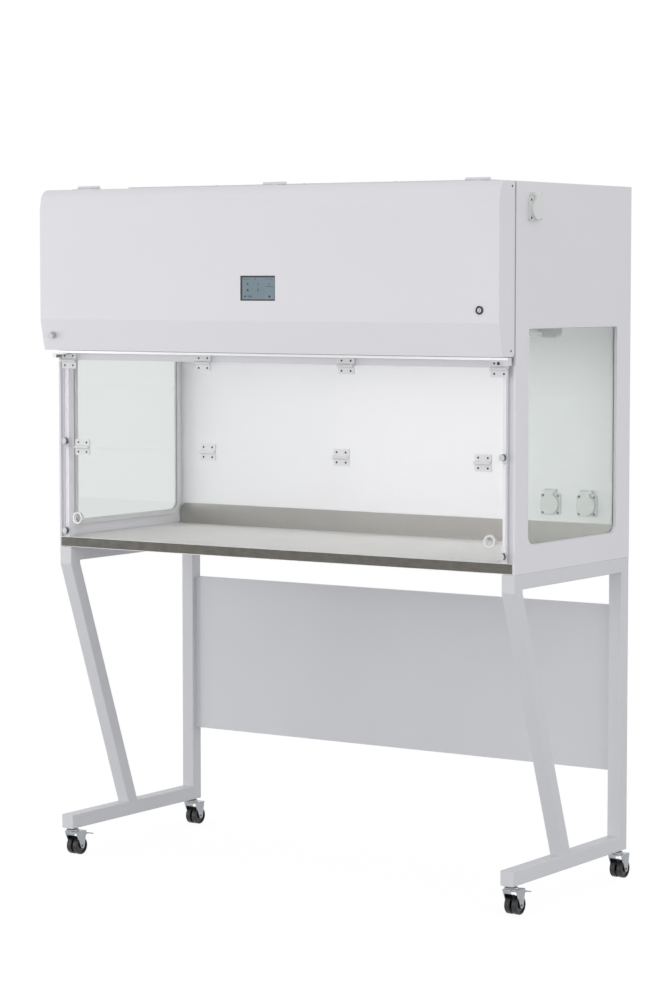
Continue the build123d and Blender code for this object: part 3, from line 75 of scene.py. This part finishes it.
def coated(name, light, dark, roughness, peel_mm=2.4, peel=0.03, drift_mm=420.0, coat=0.0):
    """A sprayed or moulded surface: a fine orange-peel bump and a slow drift of tone."""
    material, tree, place, output = new_material(name)
    drift = add_node(
        tree,
        "ShaderNodeTexNoise",
        inputs={"Vector": (place, "Object"), "Scale": metre_mm / drift_mm, "Detail": 2.0},
    )
    tone = add_node(
        tree,
        "ShaderNodeMix",
        {"data_type": "RGBA"},
        {0: (drift, "Fac"), 6: linear(light), 7: linear(dark)},
    )
    grain = add_node(
        tree,
        "ShaderNodeTexNoise",
        inputs={"Vector": (place, "Object"), "Scale": metre_mm / peel_mm, "Detail": 2.0},
    )
    bump = add_node(
        tree,
        "ShaderNodeBump",
        inputs={"Height": (grain, "Fac"), "Strength": peel, "Distance": 0.001},
    )
    shader = add_node(
        tree,
        "ShaderNodeBsdfPrincipled",
        inputs={
            "Base Color": (tone, 2),
            "Roughness": roughness,
            "Normal": (bump, "Normal"),
            "Coat Weight": coat,
        },
    )
    tree.links.new(shader.outputs[0], output.inputs["Surface"])
    return material


def metal(name, light, dark, roughness, grain_mm=(60.0, 0.8, 0.8), grain=0.05, patch_mm=90.0):
    """A bare metal with the marks of its finishing; grain_mm is a mark's length along each axis."""
    material, tree, place, output = new_material(name)
    stretch = add_node(
        tree,
        "ShaderNodeMapping",
        inputs={"Vector": (place, "Object"), "Scale": tuple(metre_mm / g for g in grain_mm)},
    )
    marks = add_node(
        tree,
        "ShaderNodeTexNoise",
        inputs={"Vector": (stretch, "Vector"), "Scale": 1.0, "Detail": 3.0},
    )
    patches = add_node(
        tree,
        "ShaderNodeTexNoise",
        inputs={"Vector": (place, "Object"), "Scale": metre_mm / patch_mm, "Detail": 4.0},
    )
    blend = add_node(
        tree,
        "ShaderNodeMix",
        {"data_type": "FLOAT"},
        {0: 0.5, 2: (marks, "Fac"), 3: (patches, "Fac")},
    )
    tone = add_node(
        tree,
        "ShaderNodeMix",
        {"data_type": "RGBA"},
        {0: (blend, 0), 6: linear(light), 7: linear(dark)},
    )
    spread = add_node(
        tree,
        "ShaderNodeMapRange",
        inputs={
            "Value": (blend, 0),
            "From Min": 0.3,
            "From Max": 0.7,
            "To Min": roughness * 0.8,
            "To Max": roughness * 1.25,
        },
    )
    bump = add_node(
        tree,
        "ShaderNodeBump",
        inputs={"Height": (marks, "Fac"), "Strength": grain, "Distance": 0.0005},
    )
    shader = add_node(
        tree,
        "ShaderNodeBsdfPrincipled",
        inputs={
            "Base Color": (tone, 2),
            "Metallic": 1.0,
            "Roughness": (spread, 0),
            "Normal": (bump, "Normal"),
        },
    )
    tree.links.new(shader.outputs[0], output.inputs["Surface"])
    return material


def glazing(name, tint, roughness, clear=1.0):
    """A clear sheet: lamps reach what is behind it, so it casts no dark shadow."""
    material, tree, place, output = new_material(name)
    smears_per_metre = 9.0
    dust = add_node(
        tree,
        "ShaderNodeTexNoise",
        inputs={"Vector": (place, "Object"), "Scale": smears_per_metre, "Detail": 3.0},
    )
    haze = add_node(
        tree,
        "ShaderNodeMapRange",
        inputs={
            "Value": (dust, "Fac"),
            "From Min": 0.35,
            "From Max": 0.75,
            "To Min": roughness * 0.5,
            "To Max": roughness,
        },
    )
    sheet = add_node(
        tree,
        "ShaderNodeBsdfPrincipled",
        inputs={
            "Base Color": linear(tint),
            "Transmission Weight": clear,
            "IOR": 1.45,
            "Roughness": (haze, 0),
        },
    )
    through = add_node(tree, "ShaderNodeBsdfTransparent", inputs={"Color": linear(tint)})
    path = add_node(tree, "ShaderNodeLightPath")
    mix = add_node(
        tree,
        "ShaderNodeMixShader",
        inputs={0: (path, "Is Shadow Ray"), 1: (sheet, 0), 2: (through, 0)},
    )
    tree.links.new(mix.outputs[0], output.inputs["Surface"])
    return material


# ---- materials -------------------------------------------------------------------------------
# Powder coat on folded sheet: matt to satin white, a faint orange peel, no gloss spots.
powder_coat = coated("white_powder_coat", "#E6E5EA", "#E1E0E5", 0.42)
# The same coat on welded tube: painted a little greyer as shade for the stand under the hood, the
# peel coarser over the welds.
shaded_tube_coat = coated("tube_powder_coat_painted_shade", "#DADBDF", "#D3D4D8", 0.45, peel_mm=3.0, peel=0.05)
# Inside walls in smooth wet paint: brighter and calmer than the outside.
liner_paint = coated("liner_paint", "#F7F7F9", "#F2F3F4", 0.38, peel=0.015)
# Brushed stainless sheet: 0.4 mm scratches along its width, drawn 1.2 mm wide to show, and a
# dull pale sheen with no clear mirror image.
long_scratches_mm = (260.0, 1.2, 1.2)
worktop_steel = metal(
    "brushed_stainless", "#FAFAF8", "#EEEDEA", 0.72, long_scratches_mm, 0.05, 160.0
)
# The folded front edge of the same sheet: its forward faces painted darker as shade, mottled in
# patches.
shaded_lip_steel = metal(
    "stainless_edge_painted_shade", "#72706C", "#3F3D38", 0.42, (40.0, 3.0, 3.0), 0.1, 26.0
)
# The upstand at the back: the same sheet, its forward faces painted a tone darker as shade, as when
# seen along its scratches.
shaded_upstand_steel = metal(
    "upstand_stainless_painted_shade", "#B2B0AB", "#979590", 0.4, long_scratches_mm, 0.05, 160.0
)
# Satin anodised profile: fine lines along the extrusion.
rail_metal = metal("satin_aluminium", "#E3E4E5", "#CFD0D2", 0.32, (300.0, 1.0, 1.0), 0.03)
# Zinc and chrome plate: bright, near mirror, tiny pits.
plate_pits_mm = (1.5, 1.5, 1.5)
chrome_plate = metal("chrome_plate", "#DADCDE", "#B4B7BB", 0.1, plate_pits_mm, 0.02, 12.0)
# The same plate on the knurled flanks: painted dark as the shade in their grooves.
knurl_shade_plate = metal("knurled_plate_painted_shade", "#8C9094", "#54585C", 0.2, plate_pits_mm, 0.04, 5.0)
# Pressed and plated steel of the casters: painted darker than chrome, a painted reflection of dark
# surroundings, in cloudy patches.
dark_reflection_fork_plate = metal("plated_fork_steel_painted_reflection", "#B8BBBE", "#7E8286", 0.17, (2.0, 2.0, 2.0), 0.04, 14.0)
# Zinc-coated sheet: large dull crystals.
galvanised = metal("galvanised_sheet", "#B2B6B8", "#999DA0", 0.42, (9.0, 9.0, 9.0), 0.03, 18.0)
# Mill-finish aluminium of frames and impellers: grey, with drawing lines along its length.
mill_aluminium = metal("mill_aluminium", "#C6C8CA", "#A9ABAD", 0.36, (80.0, 1.2, 1.2), 0.04)
# Float glass with the green of its iron: a faint cool tint over what is behind it.
side_glass = glazing("float_glass", "#E1E6E3", 0.03)
# Polished acrylic panes: clearer than glass, with next to no tint.
pane_acrylic = glazing("clear_acrylic", "#FDFCFD", 0.02)
# Turned and polished rings of the same plastic: a little milky, so that they show.
ring_acrylic = glazing("milky_acrylic", "#FBFCFC", 0.25, 0.35)
# Sawn and flame-polished edges of the panes: the light in them shows as a pale line.
pane_edge = coated("pane_edge", "#E4E9E7", "#D9DFDD", 0.3, peel=0.02, drift_mm=60.0)
# Moulded ABS of the sockets: satin, with the fine grain of a spark-eroded mould.
moulded_grain_mm = 0.9
grey_abs = coated(
    "light_grey_abs", "#E2E5E3", "#DADEDC", 0.36, moulded_grain_mm, peel=0.04, drift_mm=60.0
)
# The same plastic in the grey of lamp holders, a little duller.
holder_abs = coated(
    "lamp_holder_abs", "#C9CECB", "#BCC2BF", 0.4, moulded_grain_mm, peel=0.04, drift_mm=60.0
)
# Moulded white nylon of the hinges: waxy, softer in its highlights than ABS.
hinge_nylon = coated(
    "white_nylon", "#E8E8EA", "#DFDFE2", 0.42, moulded_grain_mm, peel=0.03, drift_mm=40.0
)
# Screws in dull dark zinc: they read as small grey dots.
dark_zinc = metal("dark_zinc", "#55585B", "#3C3F42", 0.34, plate_pits_mm, 0.02, 8.0)
# Zinc-plated sheet of the left cover stop: a cool grey with cloudy patches.
stop_plate = metal("zinc_plated_plate", "#C9CCC8", "#A3A6A2", 0.3, (4.0, 4.0, 4.0), 0.03, 20.0)
# Moulded black plastic of the lock, inlet and display case: glossy under a clear skin.
black_plastic = coated(
    "black_gloss_plastic", "#0E0F10", "#17181A", 0.22, 1.5, peel=0.03, drift_mm=20.0, coat=0.3
)
# Black tread rubber: dull, with a rougher skin than the plastic.
black_rubber = coated(
    "black_tread_rubber", "#101112", "#1B1C1D", 0.38, 1.2, peel=0.08, drift_mm=20.0
)
# Extruded pale rubber of the window seals: matt, with no highlights.
seal_rubber = coated(
    "pale_seal_rubber", "#DADDDC", "#CDD1D0", 0.55, 1.5, peel=0.05, drift_mm=50.0
)
# Film of the unlit display: blue-grey under a glossy top layer.
lcd_film = coated(
    "lcd_film", "#7C8E98", "#6B7E89", 0.18, 0.6, peel=0.01, drift_mm=60.0, coat=0.5
)
# Segments in the display: a shade darker than the film.
lcd_ink = coated("lcd_ink", "#3E4C55", "#36444D", 0.3, peel=0.0, drift_mm=20.0)
# Dark rim round the film: painted shade of the recess the screen sits in, even and satin.
display_recess_shade = coated("display_recess_shade", "#2B3338", "#252C31", 0.35, peel=0.01, drift_mm=30.0)
# Opal glass of the fluorescent tube, not glowing: milky, with a glossy skin.
opal_glass = coated(
    "opal_lamp_glass", "#F4F5F2", "#EDEFEA", 0.12, peel=0.0, drift_mm=80.0, coat=0.6
)
# Pleated glass-fibre paper of the filter: dull and off-white, with a fibrous skin.
filter_paper = coated(
    "glass_fibre_paper", "#F2F2EE", "#E4E4DF", 0.85, 1.4, peel=0.3, drift_mm=30.0
)
# Open fleece of the prefilter: bluish, without shine, coarse to the eye.
fleece = coated("prefilter_fleece", "#DCE3EA", "#C3CDD7", 0.95, 3.5, peel=0.7, drift_mm=18.0)
# Hexagon recess of a screw: dark, because little light gets in.
screw_recess = coated("screw_recess_shadow", "#2A2B2D", "#222325", 0.5, peel=0.02, drift_mm=6.0)
# Sprayed enamel of the control box: plain pale grey, a finer peel than powder coat.
control_paint = coated("control_box_paint", "#D4D6D8", "#C9CBCE", 0.4, peel_mm=1.8, peel=0.05)

caster_places = ("front_left", "front_right", "rear_left", "rear_right")
pane_knobs = tuple(
    f"pane_knob_{place}" for place in ("upper_left", "upper_right", "lower_left", "lower_right")
)
finishes = {
    powder_coat: [
        "side_wall_left",
        "side_wall_right",
        "roof",
        "rear_cover",
        "front_cover",
        "base_pan",
        "intake_cover",
        "window_header",
    ],
    shaded_tube_coat: ["frame_left", "frame_right", "rear_panel"],
    liner_paint: ["back_liner", "filter_seat", "diffuser"],
    worktop_steel: ["worktop"],
    rail_metal: ["front_rail"],
    chrome_plate: ["caster_stems", "lock_plug", "cover_knob", *pane_knobs],
    dark_reflection_fork_plate: ["brake_pedal_front_left", "brake_pedal_front_right"]
    + [f"caster_fork_{place}" for place in caster_places],
    galvanised: ["fan_deck", "plenum_front_wall", "fan_motors"],
    mill_aluminium: ["filter_frame", "fan_impeller_left", "fan_impeller_right"],
    side_glass: ["side_glasses"],
    pane_acrylic: ["upper_pane", "lower_pane"],
    ring_acrylic: ["finger_rings"],
    grey_abs: ["sockets", "socket_lid_left", "socket_lid_right", "socket_lid_side"],
    holder_abs: ["lamp_holders"],
    hinge_nylon: ["window_hinges", "upper_pane_hinges", "lower_pane_hinges"],
    stop_plate: ["cover_stops"],
    black_plastic: ["lock_barrel", "mains_inlet", "display"],
    black_rubber: [f"caster_wheels_{place}" for place in caster_places],
    seal_rubber: ["window_gaskets"],
    filter_paper: ["filter_media"],
    fleece: ["prefilter_pad"],
    control_paint: ["control_box"],
    opal_glass: ["lamp_tube"],
}
for material, names in finishes.items():
    for name in names:
        nodes[name].data.materials.clear()
        nodes[name].data.materials.append(material)


def refinish(name, material, chosen):
    """Gives the faces of a node that chosen picks a further material."""
    mesh = nodes[name].data
    mesh.materials.append(material)
    for face in mesh.polygons:
        if chosen(face):
            face.material_index = len(mesh.materials) - 1


# The front edge of the worktop, and every other face of it that looks forward, on the upstand: both
# get darker copies of the steel as painted shade.
forward = -0.99  # Y of the normal of a face that looks forward
edge_play = 0.0003
edge_limit = min(v.co.y for v in nodes["worktop"].data.vertices) + edge_play
refinish(
    "worktop", shaded_lip_steel, lambda f: f.normal.y < forward and f.center.y < edge_limit
)
refinish(
    "worktop", shaded_upstand_steel, lambda f: f.normal.y < forward and f.center.y >= edge_limit
)
# The narrow edges of both panes.
for name in ("upper_pane", "lower_pane"):
    refinish(name, pane_edge, lambda f: abs(f.normal.y) < 0.5)
# Knurled flanks of the thumb screws get painted shade for the grooves of their knurls; their faces
# stay bright.
for name in pane_knobs:
    refinish(name, knurl_shade_plate, lambda f: abs(f.normal.y) < 0.7)
# The right stop of the cover is moulded, the left one is plate.
refinish("cover_stops", hinge_nylon, lambda f: f.center.x > 0)
# The metal caps at both ends of the lamp.
cap_length = 0.0215
cap_start = max(v.co.x for v in nodes["lamp_tube"].data.vertices) - cap_length
refinish("lamp_tube", rail_metal, lambda f: abs(f.center.x) > cap_start)


def finish_piece(name, mesh, body, materials):
    """Turns a bmesh that is already in place into a named object that rides on a body."""
    bmesh.ops.recalc_face_normals(mesh, faces=mesh.faces)
    data = bpy.data.meshes.new(name)
    mesh.to_mesh(data)
    mesh.free()
    piece = bpy.data.objects.new(name, data)
    bpy.context.scene.collection.objects.link(piece)
    for material in materials:
        data.materials.append(material)
    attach(piece, body)


def screw_heads(name, spots, body, radius=0.0030, height=0.0013, finish=dark_zinc):
    """Domed screw heads with a hexagon recess; a spot is a point and the way the head faces."""
    dome_radius = radius * 0.72
    recess_radius = radius * 0.5
    recess_height = height * 0.1
    recess_middle = height * 1.02  # so that the recess shows as a thin dark plate on the dome
    mesh = bmesh.new()
    for point, facing in spots:
        turn = Vector((0, 0, 1)).rotation_difference(Vector(facing)).to_matrix().to_4x4()
        place = Matrix.Translation(Vector(point)) @ turn
        bmesh.ops.create_cone(
            mesh,
            cap_ends=True,
            segments=18,
            radius1=radius,
            radius2=dome_radius,
            depth=height,
            matrix=place @ Matrix.Translation((0, 0, height / 2)),
        )
        hollow = bmesh.ops.create_cone(
            mesh,
            cap_ends=True,
            segments=6,
            radius1=recess_radius,
            radius2=recess_radius,
            depth=recess_height,
            matrix=place @ Matrix.Translation((0, 0, recess_middle)),
        )
        for face in {f for v in hollow["verts"] for f in v.link_faces}:
            face.material_index = 1
    finish_piece(name, mesh, body, [finish, screw_recess])


# ---- hinge screws ----------------------------------------------------------------------------
# Sizes and places from here on are in metres.
leaf_thickness = 0.003
leaf_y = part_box("upper_pane")[0].y - leaf_thickness
top_axis_z = 1.423
mid_axis_z = 1.179
top_centres = (-0.706, -0.23533, 0.23533, 0.706)
mid_centres = (-0.659, -0.21967, 0.21967, 0.659)
screw_half_pitch = 0.0145  # between the two screws of a leaf
screw_rise = 0.0135  # from a hinge axis to the screws of a leaf
outward = (0, -1, 0)
upward = (0, 0, 1)
backward = (0, 1, 0)


def leaf_spots(centres, z):
    """The two screws in each of a row of hinge leaves."""
    return [
        ((x + side * screw_half_pitch, leaf_y, z), outward) for x in centres for side in (-1, 1)
    ]


header_spots = leaf_spots(top_centres, top_axis_z + screw_rise)
screw_heads("header_hinge_screws", header_spots, "hood")
screw_heads(
    "upper_pane_screws",
    leaf_spots(top_centres, top_axis_z - screw_rise)
    + leaf_spots(mid_centres, mid_axis_z + screw_rise),
    "upper_window",
)
screw_heads(
    "lower_pane_screws", leaf_spots(mid_centres, mid_axis_z - screw_rise), "lower_window"
)

# ---- socket, cover, roof and rear screws -------------------------------------------------------
plate_corner = 0.0235  # from the middle of a socket to its screws
corners = [(a, b) for a in (-plate_corner, plate_corner) for b in (-plate_corner, plate_corner)]
back_sockets = [(x, 0.263, 1.031) for x in (0.527, 0.641)]
side_socket = (0.755, -0.222, 1.832)
screw_heads(
    "socket_screws",
    [((x + a, y, z + b), outward) for x, y, z in back_sockets for a, b in corners]
    + [((side_socket[0], side_socket[1] + a, side_socket[2] + b), (1, 0, 0)) for a, b in corners],
    "hood",
    radius=0.0037,
    height=0.0018,
)

flat_radius, flat_height = 0.0032, 0.0008  # of the flat heads on the cover and the roof
roof_z = 1.904
leaf_row = [x + a for x in (-0.636, 0.0, 0.636) for a in (-0.026, 0.0, 0.026)]
cover_ends = ((-0.3306, 1.4692), (-0.327, 1.888))  # Y and Z of the screws in its end plates
screw_heads(
    "cover_screws",
    [((x, -0.3295, roof_z), upward) for x in leaf_row]
    + [((side * 0.748, y, z), (side, 0, 0)) for side in (-1, 1) for y, z in cover_ends],
    "cover",
    radius=flat_radius,
    height=flat_height,
)
intake_columns = (-0.59, -0.295, 0.0, 0.295, 0.59)
intake_rows = (-0.17, 0.16)
screw_heads(
    "roof_screws",
    [((x, -0.291, roof_z), upward) for x in leaf_row]
    + [((x, y, 1.912), upward) for x in intake_columns for y in intake_rows],
    "hood",
    radius=flat_radius,
    height=flat_height,
)
rear_y = 0.31
rear_sides = (-0.73, 0.73)
rear_columns = (-0.365, 0.0, 0.365)
rear_rows = [0.92 + step * 0.2405 for step in range(5)]
screw_heads(
    "rear_cover_screws",
    [((x, rear_y, z), backward) for x in rear_sides for z in rear_rows]
    + [((x, rear_y, z), backward) for x in rear_columns for z in (rear_rows[0], rear_rows[-1])],
    "hood",
    radius=0.004,
    height=0.0015,
)
# The round bumper in the right stop.
bumper = [((0.7185, -0.344, 1.437), outward)]
screw_heads(
    "stop_bumper",
    bumper,
    "hood",
    radius=0.0046,
    height=0.0016,
    finish=black_rubber,
)

# ---- display ---------------------------------------------------------------------------------
display_low, display_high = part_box("display")
face_y = display_low.y
middle = Vector((0, face_y, (display_low.z + display_high.z) / 2))


def plate(mesh, x, z, width, height, lift, thickness, material_index):
    """A thin plate on the face of the display; x and z are from its middle, in millimetres."""
    made = bmesh.ops.create_cube(mesh, size=1.0)
    scale = Matrix.Diagonal((width / metre_mm, thickness / metre_mm, height / metre_mm, 1))
    out = lift + thickness / 2
    place = middle + Vector((x / metre_mm, -out / metre_mm, z / metre_mm))
    move = Matrix.Translation(place)
    bmesh.ops.transform(mesh, matrix=move @ scale, verts=made["verts"])
    for face in {f for v in made["verts"] for f in v.link_faces}:
        face.material_index = material_index


# Index of each material of the screen.
film, shade_rim, ink = 0, 1, 2
# The ink lies on the film; both in millimetres from the face of the display.
ink_lift = 0.4
ink_thickness = 0.1


def mark(x, z, width, height):
    """A printed segment on the film of the screen."""
    plate(screen, x, z, width, height, ink_lift, ink_thickness, ink)


screen = bmesh.new()
# A dark rim plate under the film, as painted recess shade: widest at the left and top, thinnest at
# the right.
plate(screen, 0, 0, 112.4, 65.4, 0.0, 0.25, shade_rim)
plate(screen, 2.2, -0.4, 105.6, 58.6, 0.25, 0.15, film)
# Crosses, each as large as its last number.
for x, z, size in (
    (-33, 11.8, 5.2),
    (-33, -5.1, 6.4),
    (-41.7, -22, 5.6),
    (38, -22.4, 6.6),
    (-9.2, 24, 3.6),
):
    mark(x, z, size, size * 0.5)
    mark(x, z, size * 0.5, size)
# Two signs of a bar, a dot and a bar, and a plain upright bar.
for x, z in ((0.8, 11.2), (38, 11.2)):
    mark(x, z + 2.4, 5, 0.9)
    mark(x, z - 2.4, 5, 0.9)
    mark(x, z, 2.2, 2.2)
mark(0.8, -5.1, 3.2, 8.5)
# Rows of bars: their height on the screen, how tall they are, and where each lies and how wide.
bar_rows = (
    (24.5, 1.3, ((-43, 7), (-35, 7), (-27, 5), (28, 9), (42, 11))),
    (4.5, 1.6, ((29, 6), (37, 7), (46, 8))),
    (-22, 4.4, ((-31, 2), (-27, 2), (-22, 4))),
)
for z, height, bars in bar_rows:
    for x, width in bars:
        mark(x, z, width, height)
finish_piece("display_screen", screen, "cover", [lcd_film, display_recess_shade, lcd_ink])


# ---- floor, world, lamps, camera -------------------------------------------------------------
def seen_ray(tree, path):
    """A node that is 1 for a ray from the camera, through glass or off a gloss, and 0 otherwise."""
    direct = add_node(
        tree,
        "ShaderNodeMath",
        {"operation": "MAXIMUM"},
        {0: (path, "Is Camera Ray"), 1: (path, "Is Transmission Ray")},
    )
    return add_node(
        tree,
        "ShaderNodeMath",
        {"operation": "MAXIMUM"},
        {0: (direct, 0), 1: (path, "Is Glossy Ray")},
    )


white_light = (1, 1, 1, 1)
floor_size = 30  # well past the camera
# Matt pale paper that shows as plain white and still keeps a faint shadow.
floor_glow = 1.1
glow_share = 0.86  # of the glow in what is seen; the rest is the paper in its own light
floor_mesh = bmesh.new()
bmesh.ops.create_grid(floor_mesh, x_segments=1, y_segments=1, size=floor_size)
floor_data = bpy.data.meshes.new("studio_floor")
floor_mesh.to_mesh(floor_data)
floor_mesh.free()
floor = bpy.data.objects.new("studio_floor", floor_data)
bpy.context.scene.collection.objects.link(floor)
floor_material, tree, _, output = new_material("studio_floor_paper")
matt = add_node(tree, "ShaderNodeBsdfDiffuse", inputs={"Color": linear("#BEBEBE")})
glow = add_node(
    tree, "ShaderNodeEmission", inputs={"Color": white_light, "Strength": floor_glow}
)
path = add_node(tree, "ShaderNodeLightPath")
seen = seen_ray(tree, path)
share = add_node(
    tree, "ShaderNodeMath", {"operation": "MULTIPLY"}, {0: (seen, 0), 1: glow_share}
)
mix = add_node(tree, "ShaderNodeMixShader", inputs={0: (share, 0), 1: (matt, 0), 2: (glow, 0)})
tree.links.new(mix.outputs[0], output.inputs["Surface"])
floor_data.materials.append(floor_material)

# The world is white where it is seen, and lights the object a little less than that.
world_light = 0.74
world = bpy.data.worlds.new("studio")
bpy.context.scene.world = world
world.use_nodes = True
tree = world.node_tree
tree.nodes.clear()
path = add_node(tree, "ShaderNodeLightPath")
seen = seen_ray(tree, path)
soft = add_node(
    tree, "ShaderNodeBackground", inputs={"Color": white_light, "Strength": world_light}
)
white = add_node(tree, "ShaderNodeBackground", inputs={"Color": white_light, "Strength": 1.0})
mix = add_node(tree, "ShaderNodeMixShader", inputs={0: (seen, 0), 1: (soft, 0), 2: (white, 0)})
add_node(tree, "ShaderNodeOutputWorld", inputs={"Surface": (mix, 0)})


def soft_box(name, place, aim, size, watts):
    """A square studio lamp turned towards a point."""
    lamp_data = bpy.data.lights.new(name, "AREA")
    lamp_data.shape = "SQUARE"
    lamp_data.size = size
    lamp_data.energy = watts
    box = bpy.data.objects.new(name, lamp_data)
    bpy.context.scene.collection.objects.link(box)
    box.location = place
    box.rotation_euler = (Vector(aim) - Vector(place)).to_track_quat("-Z", "Y").to_euler()
    return box


# Three large lamps stand where the panes don't mirror them to the camera.
hood_middle = (0, 0, 1.2)
box_size = 2.4
soft_box("front_box", (-0.3, -5.6, 1.3), hood_middle, box_size, 52)
soft_box("left_box", (-4.8, -3.0, 1.0), hood_middle, box_size, 58)
soft_box("fill_box", (5.4, -1.4, 1.8), hood_middle, box_size, 43)
# A weak strip under the ceiling of the chamber keeps the white liner bright; the tube is off.
chamber_strip = soft_box("chamber_strip", (0.0, 0.095, 1.494), (0, 0.095, 0.9), 1.2, 0.3)
chamber_strip.data.shape = "RECTANGLE"
chamber_strip.data.size_y = 0.03

# A long lens, at chest height in front of the right side, looking slightly down.
camera_tilt = 0.0745  # below the horizon, in radians
camera_turn = 0.59  # from the front towards the right side
camera_data = bpy.data.cameras.new("studio_camera")
camera_data.sensor_width = 36.0
camera_data.lens = 105.68
camera = bpy.data.objects.new("studio_camera", camera_data)
bpy.context.scene.collection.objects.link(camera)
camera.location = (4.5421, -6.8110, 1.6475)
camera.rotation_euler = (math.pi / 2 - camera_tilt, 0, camera_turn)
bpy.context.scene.camera = camera
bpy.context.scene.view_settings.view_transform = "Standard"
